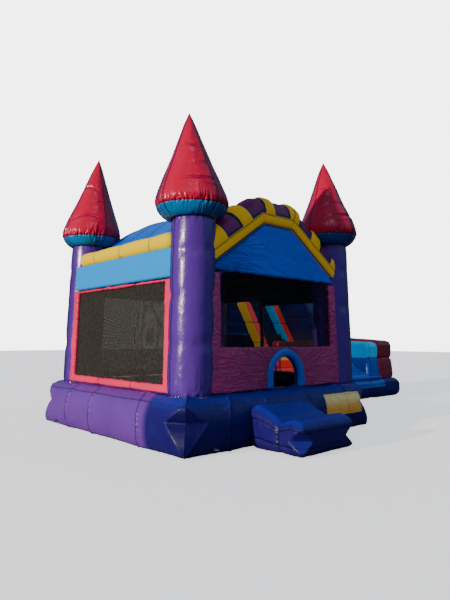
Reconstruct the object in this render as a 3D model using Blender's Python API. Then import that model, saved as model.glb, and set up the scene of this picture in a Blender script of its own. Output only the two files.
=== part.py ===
"""Inflatable castle bounce house with a climb-and-slide lane on its right side.

Metres, +Z up. The origin is on the ground at the centre of the square jumping
house. The front, with the entrance, faces -Y; the slide lane stands at +X.
Inflated chambers are thin shells that stay open where the air passes on.
"""
import bpy
import bmesh
import math
import numpy as np

# ---------------------------------------------------------- shared dimensions
SKIN = 0.020            # shell thickness of an inflated chamber
GAP = 0.003             # clearance between neighbouring pieces

BULGE = 2.06            # widest reach of the base tubes from the centre
BASE_H = 0.69           # top of the base tubes
FLOOR_H = 0.66          # top of the jumping floor
FLOOR_HALF = 1.545      # half width of the jumping floor
COL_R = 0.330           # corner column radius
COL_C = 1.560           # column axis from the centre
COL_TOP = 3.160         # top of a column

WALL_OUT = 1.850        # outer face of the walls
WALL_T = 0.100          # thickness of a wall panel
WALL_IN = WALL_OUT - WALL_T
WALL_MID = WALL_OUT - WALL_T / 2
WALL_HALF = 1.50        # half length of a wall before the columns are cut away
WALL_Z0 = BASE_H + GAP  # foot of walls and columns
BAND_Z0, BAND_Z1 = 2.265, 2.665  # light blue band above a side window
FRONT_Z0, FRONT_Z1 = 1.32, 2.36  # front window opening

# Blower: drum axis along X, outlet towards the house
BLOW_X, BLOW_Y, BLOW_Z = -0.90, 3.12, 0.330
OUTLET_Z = 0.235        # axis height of outlet, sleeve and air port

# Cosine and sine of 0 to 3 quarter turns about Z
QUARTER_TURNS = ((1, 0), (0, 1), (-1, 0), (0, -1))


# ------------------------------------------------------------------ materials
def material(name, rgb, rough=0.35, metal=0.0):
    mat = bpy.data.materials.new(name)
    mat.use_nodes = True
    inputs = mat.node_tree.nodes["Principled BSDF"].inputs
    inputs["Base Color"].default_value = (*rgb, 1)
    inputs["Roughness"].default_value = rough
    inputs["Metallic"].default_value = metal
    return mat


PURPLE = material("vinyl_purple", rgb=(0.11, 0.04, 0.33))
RED = material("vinyl_red", rgb=(0.55, 0.03, 0.06))
BLUE = material("vinyl_blue", rgb=(0.02, 0.28, 0.62))
LIGHT_BLUE = material("vinyl_light_blue", rgb=(0.03, 0.42, 0.78))
YELLOW = material("vinyl_yellow", rgb=(0.90, 0.58, 0.04))
CORAL = material("vinyl_coral", rgb=(0.85, 0.10, 0.14))
PLUM = material("vinyl_plum", rgb=(0.30, 0.04, 0.22))
NETTING = material("safety_mesh", rgb=(0.02, 0.02, 0.025), rough=0.7)
PATCH = material("printed_patch", rgb=(0.78, 0.66, 0.35), rough=0.5)
STEEL = material("plated_steel", rgb=(0.6, 0.6, 0.6), rough=0.3, metal=1.0)
WEBBING = material("webbing", rgb=(0.04, 0.04, 0.05), rough=0.8)
HOUSING = material("blower_plastic", rgb=(0.80, 0.30, 0.03), rough=0.4)
DARK = material("dark_plastic", rgb=(0.02, 0.02, 0.02), rough=0.5)
SLEEVE = material("sleeve_fabric", rgb=(0.02, 0.02, 0.10), rough=0.7)


# ---------------------------------------------------------- outlines and rings
def unit(vector):
    return vector / np.linalg.norm(vector)


def perp(vector):
    """The 2-D vector turned a quarter to the left."""
    return np.array((-vector[1], vector[0]))


def mitre(before, after):
    """Half-width vector of the mitre between two unit directions, per unit of radius."""
    across = perp(unit(before + after))
    return across / np.dot(across, perp(before))


def span(centre, half):
    return centre - half, centre + half


def rect(a0, a1, z0, z1):
    return [(a0, z0), (a1, z0), (a1, z1), (a0, z1)]


def circle(radius, segments, centre=(0, 0)):
    angles = [2 * math.pi * i / segments for i in range(segments)]
    return [(centre[0] + radius * math.cos(a), centre[1] + radius * math.sin(a)) for a in angles]


def rounded(y0, y1, height, radius, points):
    """Outline of a box standing on the ground, with the given points per rounded corner."""
    corners = ((y1 - radius, height - radius), (y0 + radius, height - radius),
               (y0 + radius, radius), (y1 - radius, radius))
    outline = []
    for corner, (y, z) in enumerate(corners):
        for i in range(points):
            angle = math.radians(90 * corner + 90 * i / (points - 1))
            outline.append((y + radius * math.cos(angle), z + radius * math.sin(angle)))
    return outline


def offset(outline, distance):
    """Moves each edge of a counter-clockwise outline inwards."""
    points = np.array(outline, float)
    moved = []
    for i, point in enumerate(points):
        before = unit(point - points[i - 1])
        after = unit(points[(i + 1) % len(points)] - point)
        moved.append(tuple(point + mitre(before, after) * distance))
    return moved


def along_x(outline, x0, x1):
    """Two rings that carry a (y, z) outline from x0 to x1."""
    return [[(x, y, z) for y, z in outline] for x in (x0, x1)]


def along_y(outline, y0, y1):
    """Two rings that carry an (x, z) outline from y0 to y1."""
    return [[(x, y, z) for x, z in outline] for y in (y0, y1)]


def lathe(profile, centre_x, centre_y, segments=24):
    """One horizontal ring for each (radius, z) of the profile."""
    return [[(x, y, z) for x, y in circle(radius, segments, (centre_x, centre_y))]
            for radius, z in profile]


def turn(rings, quarter):
    """Rotates rings of points by quarter turns about Z."""
    c, s = QUARTER_TURNS[quarter]
    return [[(c * x - s * y, s * x + c * y, z) for x, y, z in ring] for ring in rings]


# -------------------------------------------------------------- mesh builders
def finish(name, bm, mat, smooth=True):
    bmesh.ops.remove_doubles(bm, verts=bm.verts, dist=1e-6)
    bmesh.ops.recalc_face_normals(bm, faces=bm.faces)
    mesh = bpy.data.meshes.new(name)
    bm.to_mesh(mesh)
    bm.free()
    mesh.materials.append(mat)
    if smooth:
        mesh.shade_smooth()
        mesh.set_sharp_from_angle(angle=math.radians(40))
    ob = bpy.data.objects.new(name, mesh)
    bpy.context.scene.collection.objects.link(ob)
    return ob


def bridge(bm, ring_a, ring_b):
    """Quads between two closed rings of vertices."""
    for i in range(len(ring_a)):
        j = (i + 1) % len(ring_a)
        bm.faces.new((ring_a[i], ring_a[j], ring_b[j], ring_b[i]))


def skin(bm, rings):
    """Quads between successive rings of points; returns the rings of vertices."""
    vert_rings = [[bm.verts.new(point) for point in ring] for ring in rings]
    for ring_a, ring_b in zip(vert_rings, vert_rings[1:]):
        bridge(bm, ring_a, ring_b)
    return vert_rings


def add_solid(bm, rings):
    vert_rings = skin(bm, rings)
    bm.faces.new(vert_rings[0])
    bm.faces.new(vert_rings[-1])


def solid(name, rings, mat, smooth=True):
    bm = bmesh.new()
    add_solid(bm, rings)
    return finish(name, bm, mat, smooth)


def hollow(name, outer, inner, mat, open0=True, open1=True, smooth=True):
    """A shell between two lofts; an open end shows the rim, a closed end is capped."""
    bm = bmesh.new()
    outer_rings = skin(bm, outer)
    inner_rings = skin(bm, inner)
    for is_open, end in ((open0, 0), (open1, -1)):
        if is_open:
            bridge(bm, outer_rings[end], inner_rings[end])
        else:
            bm.faces.new(outer_rings[end])
            bm.faces.new(inner_rings[end])
    return finish(name, bm, mat, smooth)


def chamber_x(name, outline, x0, x1, mat, open0=True, open1=True, smooth=False):
    """An inflated chamber with a (y, z) outline, one SKIN thick."""
    inner_x0 = x0 if open0 else x0 + SKIN
    inner_x1 = x1 if open1 else x1 - SKIN
    return hollow(name, along_x(outline, x0, x1),
                  along_x(offset(outline, SKIN), inner_x0, inner_x1), mat, open0, open1, smooth)


def ring_x(name, centre, outer_r, inner_r, xs, mat, segments, smooth=True):
    return hollow(name, along_x(circle(outer_r, segments, centre), *xs),
                  along_x(circle(inner_r, segments, centre), *xs), mat, smooth=smooth)


def ring_y(name, centre, outer_r, inner_r, ys, mat, segments):
    return hollow(name, along_y(circle(outer_r, segments, centre), *ys),
                  along_y(circle(inner_r, segments, centre), *ys), mat)


def prism_x(name, outline, x0, x1, mat):
    return solid(name, along_x(outline, x0, x1), mat, smooth=False)


def prism_y(name, outline, y0, y1, mat):
    return solid(name, along_y(outline, y0, y1), mat, smooth=False)


def box(name, xs, ys, zs, mat, bevel=0.0):
    bm = bmesh.new()
    add_solid(bm, along_x(rect(*ys, *zs), *xs))
    if bevel:
        bmesh.ops.bevel(bm, geom=list(bm.edges), offset=bevel, segments=2,
                        affect='EDGES', profile=0.5)
    return finish(name, bm, mat)


# ------------------------------------------------------------------- booleans
def boolean(ob, helper, operation):
    helper.hide_render = True
    helper.display_type = 'WIRE'
    modifier = ob.modifiers.new("bool_" + helper.name, 'BOOLEAN')
    modifier.operation = operation
    modifier.solver = 'EXACT'
    modifier.object = helper


def cut(ob, helper):
    boolean(ob, helper, 'DIFFERENCE')


def join(ob, helper):
    boolean(ob, helper, 'UNION')


column_cutters = {}


def fit_to(ob, *corners):
    """Cuts a piece back to the columns at the named corners."""
    for corner in corners:
        cut(ob, column_cutters[corner])


# -------------------------------------------------------- base and jump floor
# Outline across a base tube: distance out from the centre, height
TUBE = [(FLOOR_HALF + GAP, 0.0), (1.93, 0.0), (2.02, 0.10), (BULGE, 0.26), (2.05, 0.42),
        (1.99, 0.56), (1.90, 0.65), (1.78, BASE_H), (FLOOR_HALF + GAP, BASE_H)]
# Kite-shaped facet on each outer corner of the base
KITE_FROM = 1.75                 # distance out where the facet begins
KITE_MIN, KITE_MAX = 0.10, 0.36  # setback from the corner
KITE_Z, KITE_FADE = 0.34, 0.36   # height of the widest point; rise or fall to a point
PORT_R = 0.140
PORT_Y0, PORT_Y1 = 1.90, 2.20


def kite_setback(out, z):
    if out < KITE_FROM:
        return KITE_MIN
    return max(KITE_MIN, KITE_MAX * (1 - abs(z - KITE_Z) / KITE_FADE))


def mitred(outline):
    """Rings of a base tube lying at -Y, mitred at 45 degrees behind the corner facets."""
    rings = []
    for side in (-1, 1):
        end, start = [], []
        for out, z in outline:
            setback = kite_setback(out, z)
            at_mitre = out - (setback / 2 if out > KITE_FROM else 0)
            end.append((side * (at_mitre - GAP), -at_mitre, z))
            start.append((side * (out - setback), -out, z))
        rings += [end, start] if side < 0 else [start, end]
    return rings


def build_base():
    tubes = [hollow("base_" + place, turn(mitred(TUBE), quarter),
                    turn(mitred(offset(TUBE, SKIN)), quarter), PURPLE)
             for quarter, place in enumerate(("front", "right", "back", "left"))]
    # the air enters through a port in the back tube, behind the sleeve
    port = along_y(circle(PORT_R, 24, (BLOW_X, OUTLET_Z)), PORT_Y0, PORT_Y1)
    cut(tubes[2], solid("cut_air_port", port, PURPLE))
    chamber_x("jump_floor", rect(-FLOOR_HALF, FLOOR_HALF, 0.0, FLOOR_H),
              -FLOOR_HALF, FLOOR_HALF, BLUE)


# --------------------------------------------------- corner columns and spires
# Profiles of a spire: radius, height
SPIRE = [(0.305, 3.165), (0.430, 3.190), (0.500, 3.260), (0.519, 3.360), (0.500, 3.460),
         (0.446, 3.610), (0.376, 3.780), (0.296, 3.970), (0.160, 4.340), (0.012, 4.750)]
SPIRE_IN = [(0.285, 3.165), (0.415, 3.208), (0.482, 3.270), (0.499, 3.360), (0.481, 3.452),
            (0.427, 3.602), (0.357, 3.772), (0.277, 3.962), (0.141, 4.332), (0.006, 4.690)]
CUTTER_Z0, CUTTER_Z1 = 0.5, 3.6


def upright(radius, z0, z1, x, y):
    return lathe([(radius, z0), (radius, z1)], x, y)


def build_corners():
    for corner, side_x, side_y in (("fl", -1, -1), ("fr", 1, -1), ("bl", -1, 1), ("br", 1, 1)):
        axis = (side_x * COL_C, side_y * COL_C)
        hollow("column_" + corner, upright(COL_R, WALL_Z0, COL_TOP, *axis),
               upright(COL_R - SKIN, WALL_Z0, COL_TOP, *axis), PURPLE)
        hollow("spire_" + corner, lathe(SPIRE, *axis), lathe(SPIRE_IN, *axis), RED, open1=False)
        column_cutters[corner] = solid(
            "cut_column_" + corner, upright(COL_R + GAP, CUTTER_Z0, CUTTER_Z1, *axis), PURPLE)


# -------------------------------------------------------- side beams and bands
BEAM_Z, BEAM_R = 2.810, 0.140    # axis height and radius
BEAM_C = 1.715                   # axis from the centre
BEAM_HALF = COL_C + 0.10         # half length before the columns are cut away


def build_side_beams():
    for place, side, corners in (("left", -1, ("fl", "bl")), ("right", 1, ("fr", "br"))):
        beam = ring_y("beam_" + place, (side * BEAM_C, BEAM_Z), BEAM_R, BEAM_R - SKIN,
                      span(0, BEAM_HALF), YELLOW, 16)
        fit_to(beam, *corners)
        band = box("band_" + place, span(side * WALL_MID, WALL_T / 2), span(0, WALL_HALF),
                   (BAND_Z0, BAND_Z1), LIGHT_BLUE)
        fit_to(band, *corners)


# ------------------------------------------------- arches, gables, roof vault
SHOULDER_X, SHOULDER_Z = 1.34, 2.50   # lower outer corner of a gable
PEAK_X, PEAK_Z = 0.33, 3.20           # upper outer corner of a gable
GABLE_HALF = 1.40                     # half width below the shoulders
GABLE_T = 0.08
GABLE_MID = WALL_OUT - 0.03 - GABLE_T / 2   # mid-plane, set in from the wall face
GABLE_LIFT = 0.010                    # gable foot above the front window or band foot
SHOULDER_DROP = 0.04                  # fall from the shoulder to the gable's side edge
ARCH_R = 0.205                        # arch tube radius
ARCH_C = 1.645                        # arch axis plane from the centre
ARCH_OFF = ARCH_R + 0.006             # arch axis from the gable edge
ARCH_RUN = 0.16                       # arch foot past the shoulder, along the slope
# Roof vault outline: x, z; over the top, then back underneath
ROOF = [(-1.44, 2.90), (-0.95, 3.30), (-0.45, 3.53), (0.0, 3.59), (0.45, 3.53),
        (0.95, 3.30), (1.44, 2.90),
        (1.36, 2.83), (0.90, 3.20), (0.43, 3.43), (0.0, 3.49), (-0.43, 3.43),
        (-0.90, 3.20), (-1.36, 2.83)]


def arch_rings(radius, plane_y):
    """Rings along the arch: foot, knee, knee, foot, each lying in the mitre plane."""
    down = unit(np.array((SHOULDER_X - PEAK_X, SHOULDER_Z - PEAK_Z)))
    up = down * (1, -1)
    level = np.array((1.0, 0.0))
    outward = perp(down)
    foot_x, foot_z = np.array((SHOULDER_X, SHOULDER_Z)) + outward * ARCH_OFF + down * ARCH_RUN
    knee_x = PEAK_X + math.tan(math.atan2(outward[0], outward[1]) / 2) * ARCH_OFF
    knee_z = PEAK_Z + ARCH_OFF
    stations = ((-foot_x, foot_z, up, up), (-knee_x, knee_z, up, level),
                (knee_x, knee_z, level, down), (foot_x, foot_z, down, down))
    rings = []
    for x, z, before, after in stations:
        across = mitre(before, after)
        rings.append([(x + across[0] * v, plane_y + u, z + across[1] * v)
                      for u, v in circle(radius, 16)])
    return rings


def build_arches():
    for place, side, corners, foot in (("front", -1, ("fl", "fr"), FRONT_Z1),
                                       ("back", 1, ("bl", "br"), BAND_Z0)):
        arch = hollow("arch_" + place, arch_rings(ARCH_R, side * ARCH_C),
                      arch_rings(ARCH_R - SKIN, side * ARCH_C), YELLOW)
        fit_to(arch, *corners)
        foot_z, edge_z = foot + GABLE_LIFT, SHOULDER_Z - SHOULDER_DROP
        outline = [(-GABLE_HALF, foot_z), (GABLE_HALF, foot_z), (GABLE_HALF, edge_z),
                   (SHOULDER_X, SHOULDER_Z), (PEAK_X, PEAK_Z), (-PEAK_X, PEAK_Z),
                   (-SHOULDER_X, SHOULDER_Z), (-GABLE_HALF, edge_z)]
        gable = prism_y("gable_" + place, outline, *span(side * GABLE_MID, GABLE_T / 2), BLUE)
        fit_to(gable, *corners)
    vault = prism_y("roof_vault", ROOF, *span(0, ARCH_C - ARCH_R - GAP), LIGHT_BLUE)
    fit_to(vault, "fl", "fr", "bl", "br")


# --------------------------------------------------- window frames and netting
WIN_Z0, WIN_Z1 = 0.82, 2.21      # side and back window opening
WIN_HALF = 1.300
FRAME_Z1 = BAND_Z0 - GAP
NET_HALF_T = 0.003
# The right wall stops here, leaving its rear part open to the climbing lane
RIGHT_WALL_Y1 = 0.33
RIGHT_WINDOW_Y1 = RIGHT_WALL_Y1 - 0.14
NET_ZS = (WIN_Z0 + GAP, WIN_Z1 - GAP)


def side_window(place, side, wall_y1, window_y1, corners):
    xs = span(side * WALL_MID, WALL_T / 2)
    frame = hollow("window_frame_" + place,
                   along_x(rect(-WALL_HALF, wall_y1, WALL_Z0, FRAME_Z1), *xs),
                   along_x(rect(-WIN_HALF, window_y1, WIN_Z0, WIN_Z1), *xs), CORAL, smooth=False)
    fit_to(frame, *corners)
    box("netting_" + place, span(side * WALL_MID, NET_HALF_T),
        (-WIN_HALF + GAP, window_y1 - GAP), NET_ZS, NETTING)


def build_windows():
    side_window("left", -1, WALL_HALF, WIN_HALF, ("fl", "bl"))
    side_window("right", 1, RIGHT_WALL_Y1, RIGHT_WINDOW_Y1, ("fr",))
    frame = hollow("window_frame_back",
                   along_y(rect(-WALL_HALF, WALL_HALF, WALL_Z0, FRAME_Z1), WALL_IN, WALL_OUT),
                   along_y(rect(-WIN_HALF, WIN_HALF, WIN_Z0, WIN_Z1), WALL_IN, WALL_OUT),
                   CORAL, smooth=False)
    fit_to(frame, "bl", "br")
    box("netting_back", span(0, WIN_HALF - GAP), span(WALL_MID, NET_HALF_T), NET_ZS, NETTING)


# ------------------------------------------------------------------ front wall
PANEL_HALF = 1.45                      # half width of the front panel
FRONT_HALF = 1.250                     # half width of the front window
DOOR_X = 0.08                          # centre of the entrance
DOOR_HALF, DOOR_TOP = 0.30, 1.17       # clear entrance
DOOR_OUT, DOOR_OUT_TOP = 0.415, 1.280  # outer edge of its border
HEAD_RISE = 0.80                       # rise of the door head over its half width
BORDER_OUT, BORDER_IN = 0.012, 0.006   # border proud of the panel, outside and inside
ROLL_R, ROLL_HALF, ROLL_Y = 0.115, 0.42, -1.625


def doorway(half, top):
    """Round-headed outline, from lower left over the top to lower right."""
    rise = half * HEAD_RISE
    outline = [(DOOR_X - half, WALL_Z0)]
    for i in range(9):
        angle = math.pi - math.pi * i / 8
        outline.append((DOOR_X + half * math.cos(angle), top - rise + rise * math.sin(angle)))
    outline.append((DOOR_X + half, WALL_Z0))
    return outline


def build_front_wall():
    outline = [(-PANEL_HALF, WALL_Z0), *doorway(DOOR_OUT, DOOR_OUT_TOP),
               (PANEL_HALF, WALL_Z0), (PANEL_HALF, FRONT_Z1),
               (FRONT_HALF, FRONT_Z1), (FRONT_HALF, FRONT_Z0),
               (-FRONT_HALF, FRONT_Z0), (-FRONT_HALF, FRONT_Z1), (-PANEL_HALF, FRONT_Z1)]
    fit_to(prism_y("front_panel", outline, -WALL_OUT, -WALL_IN, PLUM), "fl", "fr")
    border = doorway(DOOR_OUT - GAP, DOOR_OUT_TOP - GAP) + doorway(DOOR_HALF, DOOR_TOP)[::-1]
    prism_y("door_border", border, -WALL_OUT - BORDER_OUT, -WALL_IN + BORDER_IN, BLUE)
    net = rect(-FRONT_HALF + GAP, FRONT_HALF - GAP, FRONT_Z0 + GAP, FRONT_Z1 - GAP)
    prism_y("netting_front", net, *span(-WALL_MID, NET_HALF_T), NETTING)
    roll = circle(ROLL_R, 16, (ROLL_Y, WALL_Z0 + ROLL_R))
    solid("door_roll", along_x(roll, *span(DOOR_X, ROLL_HALF)), PURPLE)


# --------------------------------------------- entry step and printed patch
STEP_X, STEP_W, STEP_H = -0.36, 1.12, 0.40
STEP_Y0, STEP_Y1 = -2.93, -2.095
STEP_ROUND = 0.15
PATCH_X0, PATCH_X1 = 0.77, 1.74
PATCH_BACK, PATCH_FACE = 0.003, 0.007   # patch surfaces, out from the front tube


def build_step_and_patch():
    chamber_x("entry_step", rounded(STEP_Y0, STEP_Y1, STEP_H, STEP_ROUND, 4),
              *span(STEP_X, STEP_W / 2), PURPLE, open0=False, smooth=True)
    # the patch follows the outer face of the front tube
    back, face = [[(-(out + lift), z) for out, z in TUBE[3:7]]
                  for lift in (PATCH_BACK, PATCH_FACE)]
    prism_x("info_patch", back + face[::-1], PATCH_X0, PATCH_X1, PATCH)


# ------------------------------------------------------------- climb and slide
LANE_X0, LANE_X1 = 2.135, 6.88
LANE_Y0, LANE_Y1 = 0.06, 2.56
LANE_H = 0.45
LANE_ROUND = 0.13
LANE_TOP = LANE_H + GAP        # foot of everything on the lane base
REAR_Y = LANE_Y1 - 0.06        # rear face of deck and slide walls
SLIDE_WALL_Y0 = LANE_Y0 + 0.10
SLIDE_BED_Y0 = LANE_Y0 + 0.12
DECK_X0, DECK_Y, DECK_Z = 2.20, 1.250, 1.55   # left side, front face, top
DECK_FRONT = DECK_Y - GAP      # rear face of the pieces before the deck
GUARD_Y0, GUARD_TOP = 2.28, 2.80
SLIDE_X0, SLIDE_X1 = 4.25, 5.60
WALL_X1, WALL_X2, WALL_X3 = 5.61, 6.15, 6.80  # bounds of the inner and outer slide wall
RAMP_X0, RAMP_X1 = 2.745, 3.455
DIVIDER_X0 = 3.724
DIVIDER_PORT = (3.98, 0.80)    # x, y
DIVIDER_PORT_R = 0.08
DIVIDER_PORT_Z0, DIVIDER_PORT_Z1 = LANE_H - 0.05, LANE_H + 0.07
FRONT_WALL_X0, FRONT_WALL_X1 = LANE_X0 + 0.02, SLIDE_X0 - 0.04
FRONT_WALL_Y0, FRONT_WALL_Y1 = LANE_Y0 + 0.06, 0.33
FRONT_WALL_TOP = 1.39
# Climbing ramp
LEAN = 0.567                   # how far the climb leans back per metre of height
LEAN_Z = 1.3                   # height at which the y values below hold
RAMP_Y = 0.97
BOLSTER_Y0, BOLSTER_Y1, BOLSTER_TOP = 0.82, 1.10, 2.30
STEP_COUNT, STEP_FIRST, STEP_PITCH = 4, 0.18, 0.24
# Outlines: y, z
SLIDE_BED = [(DECK_FRONT, DECK_Z), (1.12, 1.49), (0.90, 1.20), (0.70, 0.93), (0.52, 0.76),
             (0.34, 0.65), (SLIDE_BED_Y0, 0.60),
             (SLIDE_BED_Y0, LANE_TOP), (0.50, LANE_TOP), (0.74, 0.66), (1.00, 1.00),
             (DECK_FRONT, 1.30)]
INNER_WALL = [(SLIDE_WALL_Y0, LANE_TOP), (REAR_Y, LANE_TOP), (REAR_Y, 2.06), (1.32, 2.06),
              (1.22, 1.98), (1.04, 1.46), (0.94, 1.40), (0.26, 1.36), (SLIDE_WALL_Y0, 1.27)]
OUTER_WALL = [(SLIDE_WALL_Y0, LANE_TOP), (REAR_Y, LANE_TOP), (REAR_Y, 2.06), (1.62, 2.06),
              (1.54, 1.98), (1.42, 1.54), (1.34, 1.49), (0.26, 1.41), (SLIDE_WALL_Y0, 1.32)]
DIVIDER = [(0.40, LANE_TOP), (DECK_FRONT, LANE_TOP), (DECK_FRONT, 2.35), (0.66, 2.35),
           (0.46, 2.05), (0.40, 1.65)]


def leaning(y, z):
    """Point at height z on the leaning line that passes y at LEAN_Z."""
    return y + (z - LEAN_Z) * LEAN, z


def build_climb():
    outline = [leaning(RAMP_Y, LANE_TOP)]
    for i in range(STEP_COUNT):
        z = LANE_TOP + STEP_FIRST + i * STEP_PITCH
        y = leaning(RAMP_Y, z)[0]
        # a foothold sticks out forwards, then meets the leaning face again
        outline += [(y, z), (y - 0.055, z + 0.02), (y - 0.030, z + 0.075),
                    leaning(RAMP_Y, z + 0.085)]
    outline += [leaning(RAMP_Y, DECK_Z), (DECK_FRONT, DECK_Z), (DECK_FRONT, LANE_TOP)]
    prism_x("climb_ramp", outline, RAMP_X0 + GAP, RAMP_X1 - GAP, BLUE)
    bolster = [leaning(BOLSTER_Y0, LANE_TOP), leaning(BOLSTER_Y1, LANE_TOP),
               leaning(BOLSTER_Y1, BOLSTER_TOP), leaning(BOLSTER_Y0, BOLSTER_TOP)]
    prism_x("climb_bolster_left", bolster, 2.480, RAMP_X0, YELLOW)
    prism_x("climb_bolster_right", bolster, RAMP_X1, 3.720, LIGHT_BLUE)


def build_slide():
    chamber_x("lane_base", rounded(LANE_Y0, LANE_Y1, LANE_H, LANE_ROUND, 3),
              LANE_X0, LANE_X1, PURPLE, open1=False, smooth=True)
    chamber_x("deck", rect(DECK_Y, REAR_Y, LANE_TOP, DECK_Z), DECK_X0, SLIDE_X1, BLUE)
    prism_x("slide_bed", SLIDE_BED, SLIDE_X0 + GAP, SLIDE_X1 - GAP, LIGHT_BLUE)
    chamber_x("slide_wall_inner", INNER_WALL, WALL_X1, WALL_X2, BLUE, open0=False)
    chamber_x("slide_wall_outer", OUTER_WALL, WALL_X2 + GAP, WALL_X3, RED, open1=False)
    divider = chamber_x("lane_divider", DIVIDER, DIVIDER_X0, SLIDE_X0, BLUE,
                        open0=False, open1=False)
    port = [(DIVIDER_PORT_R, DIVIDER_PORT_Z0), (DIVIDER_PORT_R, DIVIDER_PORT_Z1)]
    cut(divider, solid("cut_port", lathe(port, *DIVIDER_PORT, segments=16), BLUE))
    box("lane_front_wall", (FRONT_WALL_X0, FRONT_WALL_X1), (FRONT_WALL_Y0, FRONT_WALL_Y1),
        (LANE_TOP, FRONT_WALL_TOP), RED, bevel=0.06)
    box("deck_guard", (DECK_X0, SLIDE_X1), (GUARD_Y0, REAR_Y), (DECK_Z + GAP, GUARD_TOP),
        BLUE, bevel=0.05)


# ---------------------------------------------------------------------- blower
DRUM_R, DRUM_W = 0.255, 0.330
DRUM_WALL, DRUM_SIDE = 0.015, 0.012   # thickness of the rim and of the side faces
INLET_FACE = BLOW_X - DRUM_W / 2
MOTOR_FACE = BLOW_X + DRUM_W / 2
OUTLET_HALF = 0.135
DUCT_HALF = OUTLET_HALF - DRUM_WALL
BLADE_COUNT, BLADE_ROOT, BLADE_LEN = 12, 0.125, 0.075
BLADE_HALF_T, BLADE_LEAN = 0.003, math.radians(32)
GUARD_X = INLET_FACE - 0.005
GUARD_BAR_R = 0.155                   # reach of the bars, into the guard ring
GUARD_BAR_HALF_T = 0.003
MOTOR_R, MOTOR_LEN = 0.085, 0.150
MOTOR_X0 = MOTOR_FACE + GAP
SWITCH_X, SWITCH_Z = MOTOR_X0 + MOTOR_LEN / 2, BLOW_Z + 0.098
# Rocker outline: x, z about the switch
ROCKER = [(-0.0150, 0.004), (0.0, 0.0005), (0.0150, 0.004),
          (0.0150, -0.002), (0.0, -0.0075), (-0.0150, -0.002)]


def disc(name, radius, xs, mat, segments):
    """Solid cylinder on the drum axis."""
    return solid(name, along_x(circle(radius, segments, (BLOW_Y, BLOW_Z)), *xs), mat)


def from_blower(start, end):
    """Range in x, measured from the middle of the drum."""
    return BLOW_X + start, BLOW_X + end


def build_housing():
    drum = disc("blower_housing", DRUM_R, (INLET_FACE, MOTOR_FACE), HOUSING, 28)
    join(drum, box("add_outlet", span(BLOW_X, OUTLET_HALF), (BLOW_Y - 0.40, BLOW_Y),
                   span(OUTLET_Z, OUTLET_HALF), HOUSING))
    for tag, foot_x in (("a", BLOW_X - 0.125), ("b", BLOW_X + 0.125)):
        join(drum, box("add_foot_" + tag, span(foot_x, 0.025), span(BLOW_Y, 0.24),
                       (0.0, 0.20), HOUSING))
    join(drum, box("add_grip", span(BLOW_X, 0.018), span(BLOW_Y, 0.12), (0.50, 0.665), HOUSING))
    cut(drum, box("cut_grip", span(BLOW_X, 0.10), span(BLOW_Y, 0.085), (0.600, 0.635), HOUSING))
    # room for the impeller, open to the outlet duct, the inlet and the shaft bore
    cut(drum, disc("cut_room", DRUM_R - DRUM_WALL,
                   (INLET_FACE + DRUM_SIDE, MOTOR_FACE - DRUM_SIDE), HOUSING, 28))
    cut(drum, box("cut_duct", span(BLOW_X, DUCT_HALF), (BLOW_Y - 0.45, BLOW_Y - 0.10),
                  span(OUTLET_Z, DUCT_HALF), HOUSING))
    cut(drum, disc("cut_inlet", 0.150, span(INLET_FACE, 0.05), HOUSING, 24))
    cut(drum, disc("cut_bore", 0.016, span(MOTOR_FACE, 0.05), HOUSING, 16))


def build_impeller():
    """Back plate, hub, shaft, leaning blades and a front ring."""
    plate = disc("blower_impeller", 0.195, from_blower(0.100, 0.110), DARK, 28)
    join(plate, disc("add_hub", 0.030, from_blower(0.030, 0.105), DARK, 16))
    join(plate, disc("add_shaft", 0.010, from_blower(0.060, 0.220), DARK, 32))
    bm = bmesh.new()
    for i in range(BLADE_COUNT):
        angle = 2 * math.pi * i / BLADE_COUNT
        root = np.array((BLOW_Y + BLADE_ROOT * math.cos(angle),
                         BLOW_Z + BLADE_ROOT * math.sin(angle)))
        along = np.array((math.cos(angle + BLADE_LEAN), math.sin(angle + BLADE_LEAN)))
        tip = root + BLADE_LEN * along
        side = perp(along) * BLADE_HALF_T
        outline = [root - side, tip - side, tip + side, root + side]
        add_solid(bm, along_x(outline, *from_blower(-0.080, 0.104)))
    join(plate, finish("add_blades", bm, DARK, smooth=False))
    join(plate, ring_x("add_eye", (BLOW_Y, BLOW_Z), 0.200, 0.140,
                       from_blower(-0.086, -0.076), DARK, 28))


def build_guard():
    """Flat ring over the inlet, with five upright bars and one level bar."""
    guard = ring_x("blower_guard", (BLOW_Y, BLOW_Z), 0.175, 0.145, span(GUARD_X, 0.004),
                   STEEL, 24)
    for i in range(5):
        across = -0.10 + 0.05 * i
        half = math.sqrt(GUARD_BAR_R ** 2 - across ** 2)
        join(guard, box(f"add_bar_v{i}", span(GUARD_X, 0.002),
                        span(BLOW_Y + across, GUARD_BAR_HALF_T), span(BLOW_Z, half), STEEL))
    join(guard, box("add_bar_h", span(GUARD_X, 0.003), span(BLOW_Y, GUARD_BAR_R),
                    span(BLOW_Z, GUARD_BAR_HALF_T), STEEL))


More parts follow.
